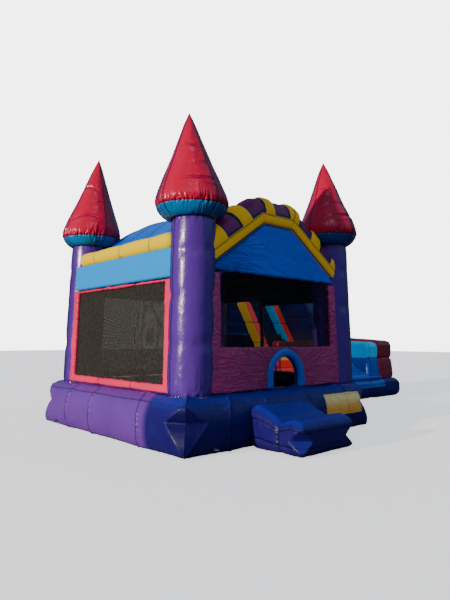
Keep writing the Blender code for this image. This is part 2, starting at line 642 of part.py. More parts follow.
def build_motor():
    motor = disc("blower_motor", MOTOR_R, (MOTOR_X0, MOTOR_X0 + MOTOR_LEN), DARK, 24)
    cut(motor, disc("cut_motor_bore", 0.0101, (MOTOR_FACE - 0.01, MOTOR_FACE + 0.07), DARK, 32))
    # switch box on top, with a pocket for the rocker
    join(motor, box("add_switch_box", span(SWITCH_X, 0.035), span(BLOW_Y, 0.03),
                    (BLOW_Z + 0.05, SWITCH_Z + 0.006), DARK))
    cut(motor, box("cut_switch", span(SWITCH_X, 0.018), span(BLOW_Y, 0.011),
                   (SWITCH_Z - 0.014, SWITCH_Z + 0.03), DARK))
    rocker = prism_y("blower_switch", ROCKER, *span(0, 0.0085), RED)
    rocker.location = (SWITCH_X, BLOW_Y, SWITCH_Z + 0.004)
    rocker.rotation_euler = (0, math.radians(8), 0)


# ------------------------------------------------------------------ air sleeve
# Sleeve from the base to the blower outlet: y, radius
SLEEVE_LINE = [(2.066, 0.160), (2.25, 0.165), (2.50, 0.180),
               (BLOW_Y - 0.440, 0.206), (BLOW_Y - 0.330, 0.206)]
SLEEVE_T = 0.006
STRAP_R, STRAP_T = 0.2075, 0.005   # inner radius, thickness


def sleeve_rings(inset):
    return [[(x, y, z) for x, z in circle(radius - inset, 20, (BLOW_X, OUTLET_Z))]
            for y, radius in SLEEVE_LINE]


def build_sleeve():
    hollow("air_sleeve", sleeve_rings(0.0), sleeve_rings(SLEEVE_T), SLEEVE)
    ring_y("sleeve_strap", (BLOW_X, OUTLET_Z), STRAP_R + STRAP_T, STRAP_R,
           (BLOW_Y - 0.400, BLOW_Y - 0.370), WEBBING, 20)


# --------------------------------------------- deflation zip on the back tube
ZIP_X0, ZIP_X1, ZIP_Z = 0.45, 1.15, 0.26


def from_tube(start, end):
    """Range in y, measured from the widest reach of the back tube."""
    return BULGE + start, BULGE + end


def build_zip():
    track = box("zip_track", (ZIP_X0, ZIP_X1), from_tube(0.002, 0.006), span(ZIP_Z, 0.030),
                WEBBING)
    join(track, box("add_zip_rail", (ZIP_X0 + 0.02, ZIP_X1 - 0.02), from_tube(0.004, 0.011),
                    span(ZIP_Z, 0.004), WEBBING))
    slider = prism_x("zip_slider", rect(*from_tube(0.0072, 0.018), *span(ZIP_Z, 0.010)),
                     *span(0, 0.016), STEEL)
    cut(slider, box("cut_slider", (ZIP_X0 - 0.1, ZIP_X1 + 0.1), from_tube(0.0, 0.0122),
                    span(ZIP_Z, 0.0055), STEEL))
    slider.location = (ZIP_X0 + 0.06, 0, 0)


# -------------------------------------------------------------- ground anchors
ANCHOR_OUT, ANCHOR_Z = 2.012, 0.075    # mounting point: out from the centre, height
LOOP_OUT = 0.045                       # loop axis, out from the mounting point
LOOP_R, LOOP_HOLE_R = 0.0110, 0.0068
TAB_HALF = 0.020
STRAP_END = LOOP_OUT - 0.0085          # strap ends inside the loop wall
D_RING_R = 0.0045                      # wire radius
# Wire axis of a D-ring: x, distance out from its straight bar
D_RING = [(-0.030, 0.0), (0.030, 0.0), (0.034, 0.030), (0.020, 0.052), (0.0, 0.058),
          (-0.020, 0.052), (-0.034, 0.030)]


def d_ring(name):
    """D-ring lying level, with its straight bar on the X axis and its bow towards -Y."""
    points = np.array(D_RING)
    rings = []
    for i, point in enumerate(points):
        across = mitre(unit(point - points[i - 1]),
                       unit(points[(i + 1) % len(points)] - point))
        rings.append([(point[0] + across[0] * u, -(point[1] + across[1] * u), v)
                      for u, v in circle(D_RING_R, 8)])
    bm = bmesh.new()
    skin(bm, rings + rings[:1])
    return finish(name, bm, STEEL)


def anchor(place, x, y, quarter):
    """A webbing loop on the base edge, with a D-ring hanging in it. Built at -Y, then turned."""
    tab = ring_x("anchor_tab_" + place, (-LOOP_OUT, 0), LOOP_R, LOOP_HOLE_R,
                 span(0, TAB_HALF), WEBBING, 14, smooth=False)
    strap = box("add_strap_" + place, span(0, TAB_HALF), (-STRAP_END, 0.0), span(0, 0.003),
                WEBBING)
    join(tab, strap)
    ring = d_ring("anchor_ring_" + place)
    c, s = QUARTER_TURNS[quarter]
    for ob, out in ((tab, 0.0), (strap, 0.0), (ring, LOOP_OUT)):
        ob.rotation_euler = (0, 0, quarter * math.pi / 2)
        ob.location = (x + out * s, y - out * c, ANCHOR_Z)


def build_anchors():
    anchor("front", -1.55, -ANCHOR_OUT, 0)
    anchor("left", -ANCHOR_OUT, 1.45, 3)
    anchor("back", 1.60, ANCHOR_OUT, 2)


# ----------------------------------------------------------------------- build
for existing in list(bpy.data.objects):
    bpy.data.objects.remove(existing, do_unlink=True)

build_base()
build_corners()      # makes the column cutters that the walls and beams need
build_side_beams()
build_arches()
build_windows()
build_front_wall()
build_step_and_patch()
build_climb()
build_slide()
build_housing()
build_impeller()
build_guard()
build_motor()
build_sleeve()
build_zip()
build_anchors()
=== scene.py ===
"""Looks of an inflatable castle with a climb-and-slide lane on its +X side.

Metres, +Z up, standing on z = 0. The castle is centred on the origin with its door facing -Y.
Every soft chamber is redrawn as stitched, air-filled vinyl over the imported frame.
In names, front is -Y, back is +Y, left is -X and right is +X.
"""
import math

import bpy
import bmesh
import numpy as np
from mathutils import Matrix, Vector


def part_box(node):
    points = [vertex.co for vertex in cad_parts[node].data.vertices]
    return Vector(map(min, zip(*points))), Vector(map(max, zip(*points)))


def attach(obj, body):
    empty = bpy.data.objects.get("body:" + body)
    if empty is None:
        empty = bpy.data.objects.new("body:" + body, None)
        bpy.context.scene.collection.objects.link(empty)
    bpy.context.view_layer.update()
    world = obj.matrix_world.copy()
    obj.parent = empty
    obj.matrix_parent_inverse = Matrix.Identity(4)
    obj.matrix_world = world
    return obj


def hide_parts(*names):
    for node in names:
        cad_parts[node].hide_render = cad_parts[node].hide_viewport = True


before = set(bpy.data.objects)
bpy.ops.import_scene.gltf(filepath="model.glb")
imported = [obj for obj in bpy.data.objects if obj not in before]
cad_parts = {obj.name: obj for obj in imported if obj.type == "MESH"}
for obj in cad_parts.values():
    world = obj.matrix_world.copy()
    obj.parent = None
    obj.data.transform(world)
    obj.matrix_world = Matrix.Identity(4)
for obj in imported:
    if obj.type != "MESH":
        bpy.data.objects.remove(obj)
RES = 0.016          # point spacing on soft pieces
SPIRE_RES = 0.0125
DIAGONAL = 0.7071                        # share of a 45 degree push on each axis


# ------------------------------------------------------------------ noise and relief
def grid_value(ix, iy, seed):
    """Repeatable random value, 0 to 1, at whole-number places."""
    n = (ix.astype(np.int64) * 374761393 + iy.astype(np.int64) * 668265263
         + seed * 1274126177) & 0xFFFFFFFF
    n = ((n ^ (n >> 13)) * 1274126177) & 0xFFFFFFFF
    return ((n ^ (n >> 16)) & 0xFFFF) / 65535.0


def noise(x, y, seed):
    """Smooth value noise, 0 to 1."""
    x, y = np.broadcast_arrays(np.asarray(x, float), np.asarray(y, float))
    ix, iy = np.floor(x), np.floor(y)
    ease_x, ease_y = (t * t * t * (t * (t * 6 - 15) + 10) for t in (x - ix, y - iy))

    def row(iy):
        left, right = grid_value(ix, iy, seed), grid_value(ix + 1, iy, seed)
        return left + (right - left) * ease_x
    return row(iy) * (1 - ease_y) + row(iy + 1) * ease_y


def clouds(x, y, seed):
    """Four octaves of noise, 0 to 1."""
    total, weight, weights = 0.0, 0.5, 0.0
    for i in range(4):
        total = total + weight * noise(x * 2 ** i, y * 2 ** i, seed + 17 * i)
        weights += weight
        weight *= 0.5
    return total / weights


def swell(x, y, seed):
    """Clouds centred on 0."""
    return clouds(x, y, seed) - 0.5


def crease(x, y, seed):
    """Sharp valleys between round ridges, mean near 0."""
    return np.sqrt(np.abs(2 * noise(x, y, seed) - 1) + 0.002) - 0.62


def bell(x, width):
    return np.exp(-(x / width) ** 2)


def unit(x):
    return np.clip(x, 0, 1)


def angle_gap(angle, at):
    return np.abs((angle - at + math.pi) % (2 * math.pi) - math.pi)


def gathers(run, gap, height, pitch, reach, seed):
    """Puckers beside a seam: run is measured along it, gap away from it."""
    wide = crease(run / pitch, gap / (pitch * 6) + 0.3, seed)
    narrow = crease(run / (pitch * 0.42), gap / (pitch * 2.6), seed + 5)
    strength = 0.35 + 1.3 * noise(run / (pitch * 5), 0.5, seed + 9)
    return (height * np.exp(-gap / reach) * strength
            * (wide + 0.45 * np.exp(-gap / (0.35 * reach)) * narrow))


class Relief:
    """Height over a sheet, with each point's gap to its nearest seam and run along it."""

    def __init__(self, shape):
        self.height, self.gap, self.run = np.zeros(shape), np.full(shape, 1.0), np.zeros(shape)

    def mark(self, gap, run, where=True):
        """Records a seam where it is nearer than those before it."""
        closer = (gap < self.gap) & where
        self.gap = np.where(closer, gap, self.gap)
        self.run = np.where(closer, run, self.run)

    def seam(self, gap, run, seed, gather, pitch, reach, groove, width=0.016,
             dip=0.0, dip_reach=0.10, where=True):
        """Adds gathers, a narrow groove and a wide dip beside a seam, and marks it."""
        self.height += (gathers(run, gap, gather, pitch, reach, seed)
                        - groove * bell(gap, width) - dip * np.exp(-gap / dip_reach))
        self.mark(gap, run, where)

    def marks(self):
        return self.gap, self.run


# ------------------------------------------------------------------ meshes
def normals(points):
    n = np.cross(np.gradient(points, axis=0), np.gradient(points, axis=1))
    return n / np.maximum(np.linalg.norm(n, axis=-1, keepdims=True), 1e-12)


def grid_quads(rows, columns, wrap=False, base=0):
    """Faces of a grid of points; wrap joins the last column to the first."""
    i, j = np.meshgrid(np.arange(rows - 1), np.arange(columns if wrap else columns - 1),
                       indexing="ij")
    after = (j + 1) % columns
    corners = [i * columns + j, (i + 1) * columns + j,
               (i + 1) * columns + after, i * columns + after]
    return np.stack(corners, -1).reshape(-1, 4) + base


def soft_mesh(name, points, faces, cloths, node="", face_cloths=None, seam=None,
              weld=0.0004, extra=None):
    """Makes a smooth object that rides on the inflatable.

    A face whose last two corners match is a triangle. seam is (gap, run) for each point.
    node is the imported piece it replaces: "" for the one named like it, None for no piece.
    """
    points = np.asarray(points, np.float32).reshape(-1, 3)
    faces = np.asarray(faces, np.int32)
    kept = np.ones(faces.shape, bool)
    kept[:, 3] = faces[:, 2] != faces[:, 3]
    sides = kept.sum(1)
    corners = faces[kept]
    mesh = bpy.data.meshes.new(name)
    mesh.vertices.add(len(points))
    mesh.vertices.foreach_set("co", points.ravel())
    mesh.loops.add(len(corners))
    mesh.loops.foreach_set("vertex_index", corners)
    mesh.polygons.add(len(faces))
    mesh.polygons.foreach_set("loop_start", (np.cumsum(sides) - sides).astype(np.int32))
    mesh.polygons.foreach_set("loop_total", sides.astype(np.int32))
    for cloth in cloths:
        mesh.materials.append(cloth)
    if face_cloths is not None:
        mesh.polygons.foreach_set("material_index", np.asarray(face_cloths, np.int32).ravel())
    mesh.update(calc_edges=True)
    gap, run = seam or (np.ones(len(points)), np.ones(len(points)))
    for key, values in {"sd": gap, "ss": run, **(extra or {})}.items():
        attribute = mesh.attributes.new(key, 'FLOAT', 'POINT')
        attribute.data.foreach_set("value", np.asarray(values, np.float32).ravel())
    mesh.validate()
    if weld:
        welded = bmesh.new()
        welded.from_mesh(mesh)
        bmesh.ops.remove_doubles(welded, verts=welded.verts, dist=weld)
        bmesh.ops.recalc_face_normals(welded, faces=welded.faces)
        welded.to_mesh(mesh)
        welded.free()
    mesh.shade_smooth()
    ob = bpy.data.objects.new(name, mesh)
    bpy.context.scene.collection.objects.link(ob)
    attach(ob, "inflatable")
    if node is not None:
        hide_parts(node or name.removeprefix("soft_"))


# ------------------------------------------------------------------ shader tools
def tone(colour, gain, lift=0.0):
    return tuple(min(1, c * gain + lift) for c in colour)


class Shader:
    """Short forms for building a node tree. Colours are linear RGB."""

    def __init__(self, owner):
        self.nodes, self.links = owner.node_tree.nodes, owner.node_tree.links
        self.base = self.nodes.get("Principled BSDF")

    def put(self, target, source):
        """Links an output to an input, or sets the input's value."""
        if isinstance(source, bpy.types.NodeSocket):
            self.links.new(source, target)
        elif target.type == 'RGBA':
            target.default_value = (*source, 1)
        else:
            target.default_value = source

    def node(self, kind, inputs=None, **settings):
        made = self.nodes.new("ShaderNode" + kind)
        for key, value in settings.items():
            setattr(made, key, value)
        for key, value in (inputs or {}).items():
            self.put(made.inputs[key], value)
        return made

    def surface(self, **inputs):
        """Sets surface inputs; an underscore stands for a space."""
        for key, value in inputs.items():
            self.put(self.base.inputs[key.replace("_", " ")], value)

    def feeding(self, socket):
        return socket.links[0].from_socket

    def math(self, operation, *values, clamp=False):
        return self.node("Math", dict(enumerate(values)), operation=operation,
                         use_clamp=clamp).outputs[0]

    def mul(self, a, b):
        return self.math('MULTIPLY', a, b)

    def add(self, a, b, clamp=False):
        return self.math('ADD', a, b, clamp=clamp)

    def sub(self, a, b):
        return self.math('SUBTRACT', a, b)

    def ramp(self, source, low, high, start=0.0, end=1.0):
        """Eases from start to end as the source goes from low to high."""
        return self.node("MapRange", {0: source, 1: low, 2: high, 3: start, 4: end},
                         interpolation_type='SMOOTHSTEP').outputs[0]

    def stripe(self, source, centre, core, outer):
        """1 within core of the centre value, falling to 0 at outer."""
        return self.ramp(self.math('ABSOLUTE', self.sub(source, centre)), core, outer, 1.0, 0.0)

    def mix(self, factor, first, second):
        return self.node("Mix", {0: factor, 6: first, 7: second}, data_type='RGBA').outputs[2]

    def noise(self, vector, scale, detail, distortion=0.0, roughness=0.5):
        return self.node("TexNoise", {
            "Vector": vector, "Scale": scale, "Detail": detail, "Roughness": roughness,
            "Distortion": distortion}).outputs["Fac"]

    def object_place(self):
        return self.node("TexCoord").outputs["Object"]

    def attribute(self, name):
        return self.node("Attribute", attribute_name=name).outputs["Fac"]

    def axes(self, vector):
        return self.node("SeparateXYZ", {0: vector}).outputs

    def position_axes(self):
        return self.axes(self.node("NewGeometry").outputs["Position"])

    def dot(self, vector, direction):
        return self.node("VectorMath", {0: vector, 1: direction},
                         operation='DOT_PRODUCT').outputs["Value"]

    def bump(self, height):
        bump = self.node("Bump", {"Strength": 1.0, "Distance": 1.0, "Height": height})
        self.surface(Normal=bump.outputs[0])


def new_material(name):
    material = bpy.data.materials.new(name)
    material.use_nodes = True
    return material, Shader(material)


# ------------------------------------------------------------------ materials
def vinyl(name, colour, rough=0.30, dirt=0.5, fade=0.10, glow=0.0, sky=None, rim=0.0,
          spec=0.34, coat=0.10, lee=None):
    """Coated cloth with stitched seams.

    fade is the drift in tone. glow is painted light: an emission in the cloth's own colour that
    brightens it as if lit. sky is painted sky light: a colour given to faces that look up. rim
    is the strength of a painted navy shade seen edge-on. lee is the (colour, strength) of
    painted shade on faces turned away from the sun.
    """
    material, sh = new_material(name)
    place = sh.object_place()

    def cloud(scale, detail, distortion=0.0, roughness=0.55):
        return sh.noise(place, scale, detail, distortion, roughness)
    broad, middle, fine = cloud(0.9, 3), cloud(6.0, 5, 0.4), cloud(60.0, 3)
    tint = sh.mix(sh.ramp(broad, 0.30, 0.72), tone(colour, 1 - fade),
                  tone(colour, 1 + fade * 0.8, 0.06 * fade))
    tint = sh.mix(sh.mul(sh.ramp(middle, 0.52, 0.80), 0.14), tint,
                  tone(colour, 0.6, min(0.05, 2 * sum(colour))))
    # welded lap beside each seam, then two rows of thread
    gap, run = sh.attribute("sd"), sh.attribute("ss")
    lap = sh.ramp(gap, 0.030, 0.034, 1.0, 0.0)
    seam = sh.ramp(gap, 0.004, 0.012, 1.0, 0.0)
    tint = sh.mix(sh.mul(lap, 0.10), tint, tone(colour, 0.45))
    tint = sh.mix(sh.mul(seam, 0.85), tint, tone(colour, 0.12))
    dash = sh.ramp(sh.math('FRACT', sh.mul(run, 110.0)), 0.30, 0.36)
    rows = sh.math('MAXIMUM', *[sh.stripe(gap, row, 0.0007, 0.0016) for row in (0.013, 0.025)])
    thread = sh.mul(rows, dash)
    tint = sh.mix(sh.mul(thread, 0.22), tint, tone(colour, 0.5, 0.10))
    # grime that gathers low down and in patches
    geometry = sh.node("NewGeometry")
    low = sh.ramp(sh.axes(geometry.outputs["Position"])[2], 0.02, 0.42, 1.0, 0.0)
    spots = sh.ramp(cloud(2.6, 8, 0.8, 0.72), 0.47, 0.70)
    grime = sh.mul(sh.mul(sh.add(sh.mul(low, 0.8), 0.10), spots), 0.55 * dirt)
    tint = sh.mix(grime, tint, (0.16, 0.13, 0.10))
    # painted shade: faces turned away from the sun take a darker colour
    if lee:
        facing = sh.dot(sh.node("NewGeometry").outputs["Normal"], (-0.98, 0.086, 0.10))
        tint = sh.mix(sh.mul(sh.ramp(facing, -0.05, 0.30, 1.0, 0.0), lee[1]), tint, lee[0])
    # painted shade: the surface turns navy where it is seen edge-on, standing in for its shaded
    # side
    if rim:
        edge_on = sh.node("LayerWeight", {"Blend": 0.5}).outputs["Facing"]
        tint = sh.mix(sh.mul(sh.ramp(edge_on, 0.30, 0.82), rim), tint, (0.008, 0.007, 0.075))
    # painted sky light: faces that look up take a bluer colour, as if lit by the sky
    if sky:
        upward = sh.axes(geometry.outputs["Normal"])[2]
        tint = sh.mix(sh.mul(sh.ramp(upward, 0.30, 0.95), 0.85), tint, sky)
    roughness = sh.add(sh.mul(middle, 0.20), rough - 0.10)
    roughness = sh.add(roughness, sh.mul(grime, 0.6), clamp=True)
    sh.surface(Base_Color=tint, Roughness=roughness, Specular_IOR_Level=spec,
               Coat_Weight=coat, Coat_Roughness=0.16)
    # relief: slow waviness, small creases, the cloth, the lap and the thread
    height = sh.mul(cloud(11.0, 5, 0.5), 0.0050)
    for source, depth in ((cloud(34.0, 3, 1.2), 0.0014), (fine, 0.00025),
                          (lap, 0.0012), (thread, 0.0006)):
        height = sh.add(height, sh.mul(source, depth))
    sh.bump(height)
    # painted light: an emission in the cloth's own colour brightens it as if lit
    if glow:
        sh.surface(Emission_Color=tint, Emission_Strength=glow)
    return material


def ray_vinyl(name, colour, rough, spec, coat, centre_x, centre_z, layers):
    """Sheet pulled tight at one point of the XZ plane: crinkles run out from it like rays."""
    material = vinyl(name, colour, rough, dirt=0.2, spec=spec, coat=coat)
    sh = Shader(material)
    bump = sh.base.inputs["Normal"].links[0].from_node
    height = sh.feeding(bump.inputs["Height"])
    place = sh.position_axes()
    dx, dz = sh.sub(place[0], centre_x), sh.sub(place[2], centre_z)
    angle = sh.math('ARCTAN2', dz, dx)
    radius = sh.math('POWER', sh.add(sh.mul(dx, dx), sh.mul(dz, dz)), 0.5)
    for k, (per_angle, per_radius, depth, distortion, far) in enumerate(layers):
        vector = sh.node("CombineXYZ", {0: sh.mul(angle, per_angle),
                                        1: sh.mul(radius, per_radius), 2: 3.7 * k})
        ray = sh.noise(vector.outputs[0], 1.0, 2.5, distortion)
        ray = sh.math('POWER', sh.math('ABSOLUTE', sh.sub(ray, 0.5)), 0.7)
        ray = sh.mul(ray, sh.ramp(radius, far * 0.4, far, 1.0, 0.0))
        height = sh.add(height, sh.mul(ray, depth))
    sh.put(bump.inputs["Height"], height)
    return material


def blend_along(material, axis, start, end, colour):
    """Gives a cloth another colour before start on a world axis, easing back by end."""
    sh = Shader(material)
    old = sh.feeding(sh.base.inputs["Base Color"])
    sh.surface(Base_Color=sh.mix(sh.ramp(sh.position_axes()[axis], start, end), colour, old))
    return material


def net(name, colour, cover):
    """Netting: fine threads over clear gaps, with a fine mottle where threads bunch."""
    material, sh = new_material(name)
    place = sh.object_place()
    x, y, z = sh.axes(place)
    threads = sh.math('MAXIMUM', *[
        sh.stripe(sh.math('FRACT', sh.mul(source, 90.0)), 0.5, 0.12, 0.30)
        for source in (sh.add(x, y), z)])
    mottle = sh.ramp(sh.noise(place, 24.0, 6.0, roughness=0.75), 0.40, 0.66)
    alpha = sh.add(sh.mul(threads, 0.30), cover - 0.20)
    alpha = sh.add(alpha, sh.mul(mottle, 0.10 * cover), clamp=True)
    shadow = sh.node("LightPath").outputs["Is Shadow Ray"]
    alpha = sh.mul(alpha, sh.sub(1.0, sh.mul(shadow, 0.55)))
    sh.surface(Alpha=alpha, Base_Color=sh.mix(mottle, colour, tone(colour, 3.2)),
               Roughness=0.7, Specular_IOR_Level=0.2)
    return material


def hard(name, colour, rough, metal=0.0, vary=0.15, grain=30.0, bump=0.0004, dirt=0.3,
         coat=0.0):
    """Metal or plastic with a fine grain and patches of dirt."""
    material, sh = new_material(name)
    place = sh.object_place()
    fine, patches = sh.noise(place, grain, 5), sh.noise(place, 5.0, 6)
    tint = sh.mix(fine, tone(colour, 1 - vary), tone(colour, 1 + vary))
    tint = sh.mix(sh.mul(sh.ramp(patches, 0.50, 0.75), dirt * 0.6), tint, (0.12, 0.10, 0.08))
    sh.surface(Base_Color=tint, Roughness=sh.add(sh.mul(patches, 0.25), rough - 0.12),
               Metallic=metal, Coat_Weight=coat)
    sh.bump(sh.mul(fine, bump))
    return material


def woven(name, colour):
    """Flat woven strap with close ribs."""
    material, sh = new_material(name)
    ribs = sh.node("TexWave", {"Scale": 260.0 / 6.28, "Distortion": 0.4,
                               "Vector": sh.object_place()},
                   bands_direction='DIAGONAL').outputs["Fac"]
    sh.surface(Base_Color=sh.mix(ribs, tone(colour, 0.5), tone(colour, 1.8)), Roughness=0.85)
    sh.bump(sh.mul(ribs, 0.0008))
    return material


def arch_vinyl():
    """Yellow vinyl with purple patches edged in navy; pd is the distance inside a patch."""
    material = vinyl("vinyl_arch_yellow", (0.96, 0.52, 0.0), 0.34, dirt=0.40, fade=0.03,
                     glow=0.10, spec=0.16, coat=0.03)
    sh = Shader(material)
    yellow = sh.feeding(sh.base.inputs["Base Color"])
    inset = sh.attribute("pd")
    purple = sh.mix(sh.noise(sh.object_place(), 5.0, 4), (0.090, 0.001, 0.070),
                    (0.150, 0.002, 0.110))
    tint = sh.mix(sh.ramp(inset, -0.002, 0.003), yellow, (0.006, 0.005, 0.050))
    tint = sh.mix(sh.ramp(inset, 0.046, 0.050), tint, purple)
    line = sh.stripe(inset, 0.075, 0.0015, 0.004)
    tint = sh.mix(sh.mul(line, 0.45), tint, (0.02, 0.005, 0.06))
    # painted light: the yellow and the patches give off a faint glow
    sh.surface(Base_Color=tint, Emission_Color=tint)
    return material


def patch_vinyl():
    """Blank printed panel, gold to cream, with a plain border and one dividing line.

    Here sd and ss run 0 to 1 across the panel and up it.
    """
    material, sh = new_material("printed_patch")
    across, up = sh.attribute("sd"), sh.attribute("ss")
    wear = sh.noise(sh.object_place(), 14.0, 6)
    tint = sh.mix(sh.ramp(up, 0.20, 0.85), (0.92, 0.42, 0.035), (0.95, 0.74, 0.28))
    tint = sh.mix(sh.mul(sh.ramp(wear, 0.45, 0.75), 0.35), tint, (0.30, 0.20, 0.06))
    borders = []
    for source, width in ((across, 0.020), (up, 0.045)):
        inset = sh.sub(0.5, sh.math('ABSOLUTE', sh.sub(source, 0.5)))
        borders.append(sh.stripe(inset, width * 1.5, width * 0.12, width * 0.22))
    lines = sh.math('MAXIMUM', sh.math('MAXIMUM', *borders),
                    sh.stripe(across, 0.60, 0.004, 0.008))
    tint = sh.mix(sh.mul(lines, 0.75), tint, (0.07, 0.05, 0.04))
    # a faint emission is painted light that brightens the panel
    sh.surface(Base_Color=tint, Emission_Color=tint, Emission_Strength=0.06, Roughness=0.46,
               Coat_Weight=0.06)
    sh.bump(sh.mul(wear, 0.003))
    return material


# purple, with painted navy shade where seen edge-on and on faces turned away from the sun
PURPLE = vinyl("vinyl_purple", (0.096, 0.022, 0.290), 0.26, dirt=0.45, rim=0.80, spec=0.28,
               coat=0.14, lee=((0.050, 0.014, 0.230), 0.25))
# deep navy purple for the front tubes, the step and the lane's base: partly the cloth's own
# colour, partly painted shade, with painted sky light on faces that look up
PURPLE_DEEP = vinyl("vinyl_purple_deep_shaded", (0.012, 0.005, 0.135), 0.34, dirt=0.15,
                    sky=(0.013, 0.026, 0.330), spec=0.14, coat=0.03)
# still darker purple on the corner kites: painted shade
PURPLE_KITE = vinyl("vinyl_purple_kite_shaded", (0.0065, 0.003, 0.080), 0.42, dirt=0.0, fade=0.02,
                    spec=0.08, coat=0.0)
RED = vinyl("vinyl_red", (0.560, 0.006, 0.045), 0.28, dirt=0.3)
# spire red, with painted navy shade edge-on and a painted darker red on faces turned from the
# sun
SPIRE_RED = vinyl("vinyl_spire_red", (0.580, 0.002, 0.042), 0.28, dirt=0.2, fade=0.04,
                  rim=0.90, spec=0.20, lee=((0.220, 0.002, 0.060), 0.35))
# darker red for the front end of the slide's outer wall: painted shade
RED_DARK = vinyl("vinyl_red_painted_shade", (0.30, 0.006, 0.030), 0.32)
BLUE = vinyl("vinyl_blue", (0.0, 0.125, 0.640), dirt=0.3)
NAVY = vinyl("vinyl_navy", (0.004, 0.030, 0.26))
# teal, with painted navy shade edge-on and on faces turned away from the sun
TEAL = vinyl("vinyl_teal", (0.0, 0.215, 0.520), 0.28, dirt=0.2, rim=0.80, spec=0.22,
             coat=0.06, lee=((0.0, 0.050, 0.270), 0.65))
# darker teal for the front-right tower's ring: a painted shadow, with painted navy shade edge-on
TEAL_DEEP = vinyl("vinyl_teal_painted_shadow", (0.0, 0.060, 0.330), 0.28, dirt=0.2, rim=0.80,
                  spec=0.22, coat=0.06)
# light blue with a faint painted glow
CYAN = vinyl("vinyl_light_blue", (0.0, 0.300, 0.800), 0.38, dirt=0.40, fade=0.0, glow=0.05,
             spec=0.05, coat=0.0)
# yellow for the sunlit left beam, greener than the other yellows so the warm sun keeps it
# yellow, with a faint painted glow
YELLOW_TOP = vinyl("vinyl_yellow_top", (0.86, 0.585, 0.0), 0.42, dirt=0.45, fade=0.0,
                   glow=0.10, spec=0.04, coat=0.0)
# yellow, with painted shade: near-black on the half towards the castle's middle (x below 1.69)
YELLOW_IN = blend_along(
    vinyl("vinyl_yellow_inner_painted_shade", (0.96, 0.56, 0.0), 0.36, dirt=0.30, fade=0.03, spec=0.14,
          coat=0.02), axis=0, start=1.686, end=1.694, colour=(0.004, 0.004, 0.010))
CORAL = vinyl("vinyl_coral", (0.86, 0.030, 0.115), dirt=0.3, spec=0.22, coat=0.06)
# layers: noise per radian, noise per metre of radius, depth, distortion, outer radius
PLUM = ray_vinyl("vinyl_plum", (0.860, 0.038, 0.300), 0.20, spec=0.6, coat=0.35,
                 centre_x=0.08, centre_z=0.90,
                 layers=((8.0, 1.6, 0.130, 1.2, 6.0), (22.0, 3.2, 0.075, 1.6, 6.0),
                         (46.0, 14.0, 0.034, 2.2, 6.0)))
GABLE = ray_vinyl("vinyl_gable_blue", (0.0, 0.125, 0.950), 0.32, spec=0.20, coat=0.06,
                  centre_x=-1.75, centre_z=2.62,
                  layers=((16.0, 1.2, 0.070, 0.5, 1.7), (40.0, 2.2, 0.034, 0.8, 1.5)))
# near-black for faces inside the castle and round the lane: painted shade
INNER = vinyl("vinyl_inside_painted_shade", (0.002, 0.0025, 0.010), 0.60, dirt=0.0, fade=0.0,
              spec=0.06, coat=0.0)
# bright copies with a painted glow, for the climb's bolsters and the slide wall's upper row
GLOW_RED = vinyl("vinyl_red_painted_glow", (0.85, 0.030, 0.008), 0.34, dirt=0.2, glow=0.30)
GLOW_YELLOW = vinyl("vinyl_yellow_painted_glow", (0.95, 0.52, 0.0), 0.34, dirt=0.2, glow=0.22)
GLOW_CYAN = vinyl("vinyl_light_blue_painted_glow", (0.0, 0.46, 0.88), 0.34, dirt=0.2, glow=0.22)
# red with a strong painted glow, for the rim of the lane's front wall
LANE_RED = vinyl("vinyl_red_lit", (0.90, 0.022, 0.006), 0.34, dirt=0.2, glow=0.42)
# near-black navy for faces of the deck and its guard that look towards the castle: painted shade
GUARD_NAVY = vinyl("vinyl_guard_navy_painted_shade", (0.001, 0.012, 0.085), 0.45, dirt=0.1, fade=0.0,
                   spec=0.10, coat=0.0)
# orange with a strong painted glow, for a band of the same rim
LANE_ORANGE = vinyl("vinyl_orange_lit", (1.0, 0.26, 0.0), 0.34, dirt=0.2, glow=0.60)
SLEEVE = vinyl("sleeve_fabric", (0.020, 0.022, 0.13), 0.55, dirt=0.6)
LAVENDER = vinyl("vinyl_lavender", (0.135, 0.040, 0.330), spec=0.2, coat=0.06)
# lavender with a painted shadow that darkens it towards the front corner
PURPLE_SIDE = LAVENDER.copy()
PURPLE_SIDE.name = "vinyl_purple_side_painted_shadow"
blend_along(PURPLE_SIDE, axis=1, start=-1.30, end=-1.12, colour=(0.011, 0.005, 0.125))
ARCH = arch_vinyl()
PATCH = patch_vinyl()

STEEL = hard("plated_steel", (0.55, 0.55, 0.56), 0.30, metal=1.0, vary=0.10, grain=60.0,
             bump=0.0002, dirt=0.15)
ZIP = woven("webbing_black", (0.03, 0.03, 0.035))
WEBBING = woven("webbing", (0.045, 0.045, 0.055))
HOUSING = hard("blower_plastic", (0.62, 0.13, 0.010), 0.40, vary=0.08, grain=90.0, dirt=0.25,
               coat=0.1)
DARK = hard("dark_plastic", (0.022, 0.022, 0.024), 0.45, vary=0.2, grain=120.0)
SWITCH = hard("switch_red", (0.60, 0.015, 0.012), 0.30, vary=0.05, grain=60.0, bump=0.0001,
              dirt=0.1)


# ------------------------------------------------------------------ curves
def spaced(start, end, marks=(), spacing=RES):
    """Even points from start to end, with one exactly on each mark."""
    stops = sorted({start, end, *[m for m in marks if start < m < end]})
    parts = [np.linspace(a, b, max(2, int(math.ceil((b - a) / spacing)) + 1))[:-1]
             for a, b in zip(stops, stops[1:])]
    return np.append(np.concatenate(parts), end)


